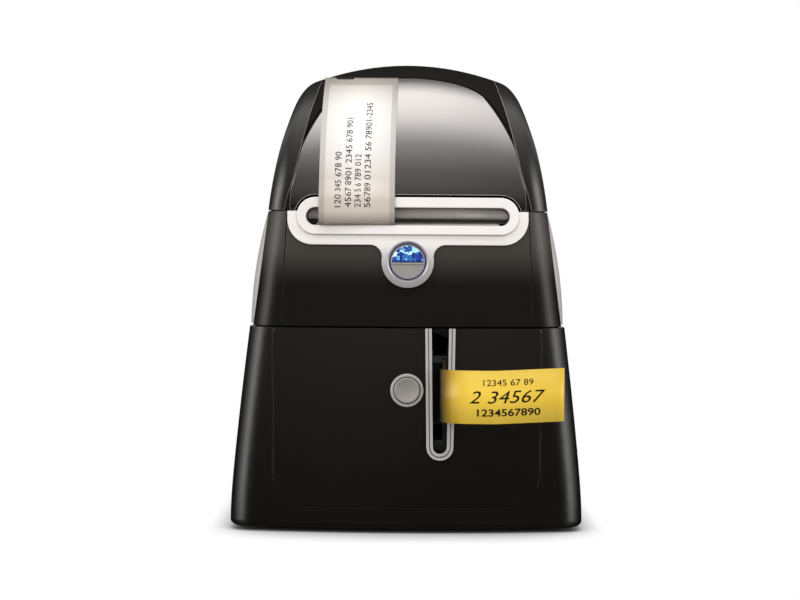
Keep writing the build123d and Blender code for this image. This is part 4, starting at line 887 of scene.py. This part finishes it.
def buildTape(t, texts):
    line = tapeLine(t)
    lengths = alongLine(line)
    half = t["thick"] / 2
    rows = []
    for distance in lengths:
        frontX, frontY = pointAt(line, lengths, distance, -half)
        backX, backY = pointAt(line, lengths, distance, half)
        lift = tapeLift(t, frontX)
        rows.append([(frontX, frontY, t["high"] + lift), (frontX, frontY, t["low"] + lift),
                     (backX, backY, t["low"] + lift), (backX, backY, t["high"] + lift)])
    tape = newBand("printed_tape", rows, finishes["yellow_tape"], "drawer", "yellow_tape")
    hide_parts("tape_strip")
    points, faces = [], []
    for look in texts:
        flat, cells = figures(look["text"], look)
        first = len(points)
        for along, up in flat:
            x = look["centre"] - look["width"] / 2 + along
            index = max(i for i, (a, b) in enumerate(line[:-1]) if a <= x or i == 0)
            part = (x - line[index][0]) / (line[index + 1][0] - line[index][0])
            onX, onY = pointAt(line, lengths, lengths[index] + part
                               * (lengths[index + 1] - lengths[index]), -half - t["inkLift"])
            points.append((onX, onY, look["baseZ"] + up + tapeLift(t, x)))
        faces += [[first + corner for corner in cell] for cell in cells]
    newPiece("tape_figures", points, faces, thermalInk, "drawer", "yellow_tape", smooth=False)


buildTape(tapeBand, tapeLines)
print("tape printed")


# turned pieces whose axis runs front to back
def turned(name, profile, centreZ, material, body, slotName, closed=False):
    # profile: (radius, y) points from the front middle outwards
    steps = 72
    points, faces = [], []
    for step in range(steps):
        turn = 2 * math.pi * step / steps
        for radius, y in profile:
            points.append((radius * math.cos(turn), y, centreZ + radius * math.sin(turn)))
    count = len(profile)
    for step in range(steps):
        here, after = step * count, (step + 1) % steps * count
        for index in range(count if closed else count - 1):
            nextOne = (index + 1) % count
            faces.append([here + index, here + nextOne, after + nextOne, after + index])
    if not closed:
        faces.append([step * count for step in range(steps)])
        faces.append([step * count + count - 1 for step in range(steps)][::-1])
    return newPiece(name, points, faces, material, body, slotName)


# feed button: facets of the lens, the bright bar under it and the light guide round it
feedButton = {
    "z": 101.3, "radius": 6.25, "face": -76.34, "back": -74.2, "flatZ": 101.0, "facetDepth": 0.34,
    "corners": ((-3.9, 102.6), (-2.4, 104.7), (-0.4, 105.4), (1.9, 105.1), (3.8, 103.2), (2.3, 102.0),
                (0.2, 103.1), (-1.7, 102.2), (-4.6, 101.9), (4.9, 101.9), (-2.9, 101.2), (1.0, 101.3)),
    "bar": ((-6.15, 6.15), (-76.42, -75.8), (100.55, 100.95)),
    "guide": ((6.42, -75.9), (6.58, -75.9), (6.58, -75.4), (6.42, -75.4)),
    "dish": ((6.62, -75.35), (7.0, -75.75), (7.4, -76.15), (7.62, -76.42), (7.7, -76.42), (7.7, -75.2),
             (6.62, -75.2)),
}


def buildLens(b):
    rim = [(b["radius"] * math.cos(math.radians(a)), b["z"] + b["radius"] * math.sin(math.radians(a)))
           for a in range(0, 181, 12)]
    rim = [(x, max(z, b["flatZ"])) for x, z in rim]
    flat = [Vector(point) for point in rim + list(b["corners"])]
    edges = [(i, (i + 1) % len(rim)) for i in range(len(rim))]
    verts, _, cells = geometry.delaunay_2d_cdt(flat, edges, [], 1, 1e-4)[:3]
    # the inner corners lie at five depths, so that each facet catches other light
    points = []
    for index, place in enumerate(verts):
        onRim = index < len(rim)
        depth = b["facetDepth"] if onRim else b["facetDepth"] * (index * 7 % 5) / 6
        points.append((place[0], b["face"] + depth, place[1]))
    faces = [list(cell)[::-1] for cell in cells]
    first = len(points)
    points += [(verts[i][0], b["back"], verts[i][1]) for i in range(len(rim))]
    for i in range(len(rim)):
        after = (i + 1) % len(rim)
        faces.append([i, after, first + after, first + i])
    faces.append([first + i for i in range(len(rim))][::-1])
    lens = newPiece("feed_lens_facets", points, faces, finishes["blue_lens"], "feed_button",
                    "blue_lens", smooth=False)
    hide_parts("feed_button_lens")


buildLens(feedButton)
turned("button_light_guide", feedButton["guide"], feedButton["z"], violetGuide, "base", "blue_lens",
       closed=True)
barX, barY, barZ = feedButton["bar"]
newPiece("feed_lens_bar", [(x, y, z) for x in barX for y in barY for z in barZ],
         [[0, 1, 3, 2], [4, 6, 7, 5], [0, 4, 5, 1], [2, 3, 7, 6], [0, 2, 6, 4], [1, 5, 7, 3]],
         finishes["trim_metal"], "feed_button", "button_grey", smooth=False)
# the polished dish that the button sits in: its lower half catches the light from above
turned("feed_button_dish", feedButton["dish"], feedButton["z"], dishPlate, "base", "silver_plastic",
       closed=True)
print("button lens cut")

# eject button: the cap is dished, and its rim catches the light
ejectCap = {
    "z": 53.3,
    "profile": ((0.01, -79.2), (1.6, -79.25), (2.9, -79.45), (3.9, -79.8), (4.3, -79.97), (4.6, -79.95),
                (4.78, -79.75), (4.8, -79.5), (4.8, -75.2), (6.2, -75.2), (6.2, -74.05), (0.01, -74.05)),
}
turned("eject_cap_dish", ejectCap["profile"], ejectCap["z"], finishes["button_grey"], "eject_button",
       "button_grey")
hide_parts("eject_button_cap")

# paper chute behind the exit: a bent steel sheet that leads the label down to the toothed bar
chute = {
    "half": 38.4, "thick": 0.3,
    "line": ((-68.8, 122.4), (-69.4, 121.2), (-70.0, 120.0), (-70.3, 118.9), (-70.1, 118.1),
             (-69.3, 117.5), (-68.0, 117.2)),
}


def buildChute(c):
    lengths = alongLine(c["line"])
    sides, lifts = (-c["half"], c["half"]), (-c["thick"] / 2, c["thick"] / 2)
    rows = [bandRow(c["line"], lengths, lengths[-1] * step / 20, sides, lifts) for step in range(21)]
    newBand("exit_chute", rows, finishes["trim_metal"], "base", "sheet_steel")


buildChute(chute)
print("eject cap and chute made")
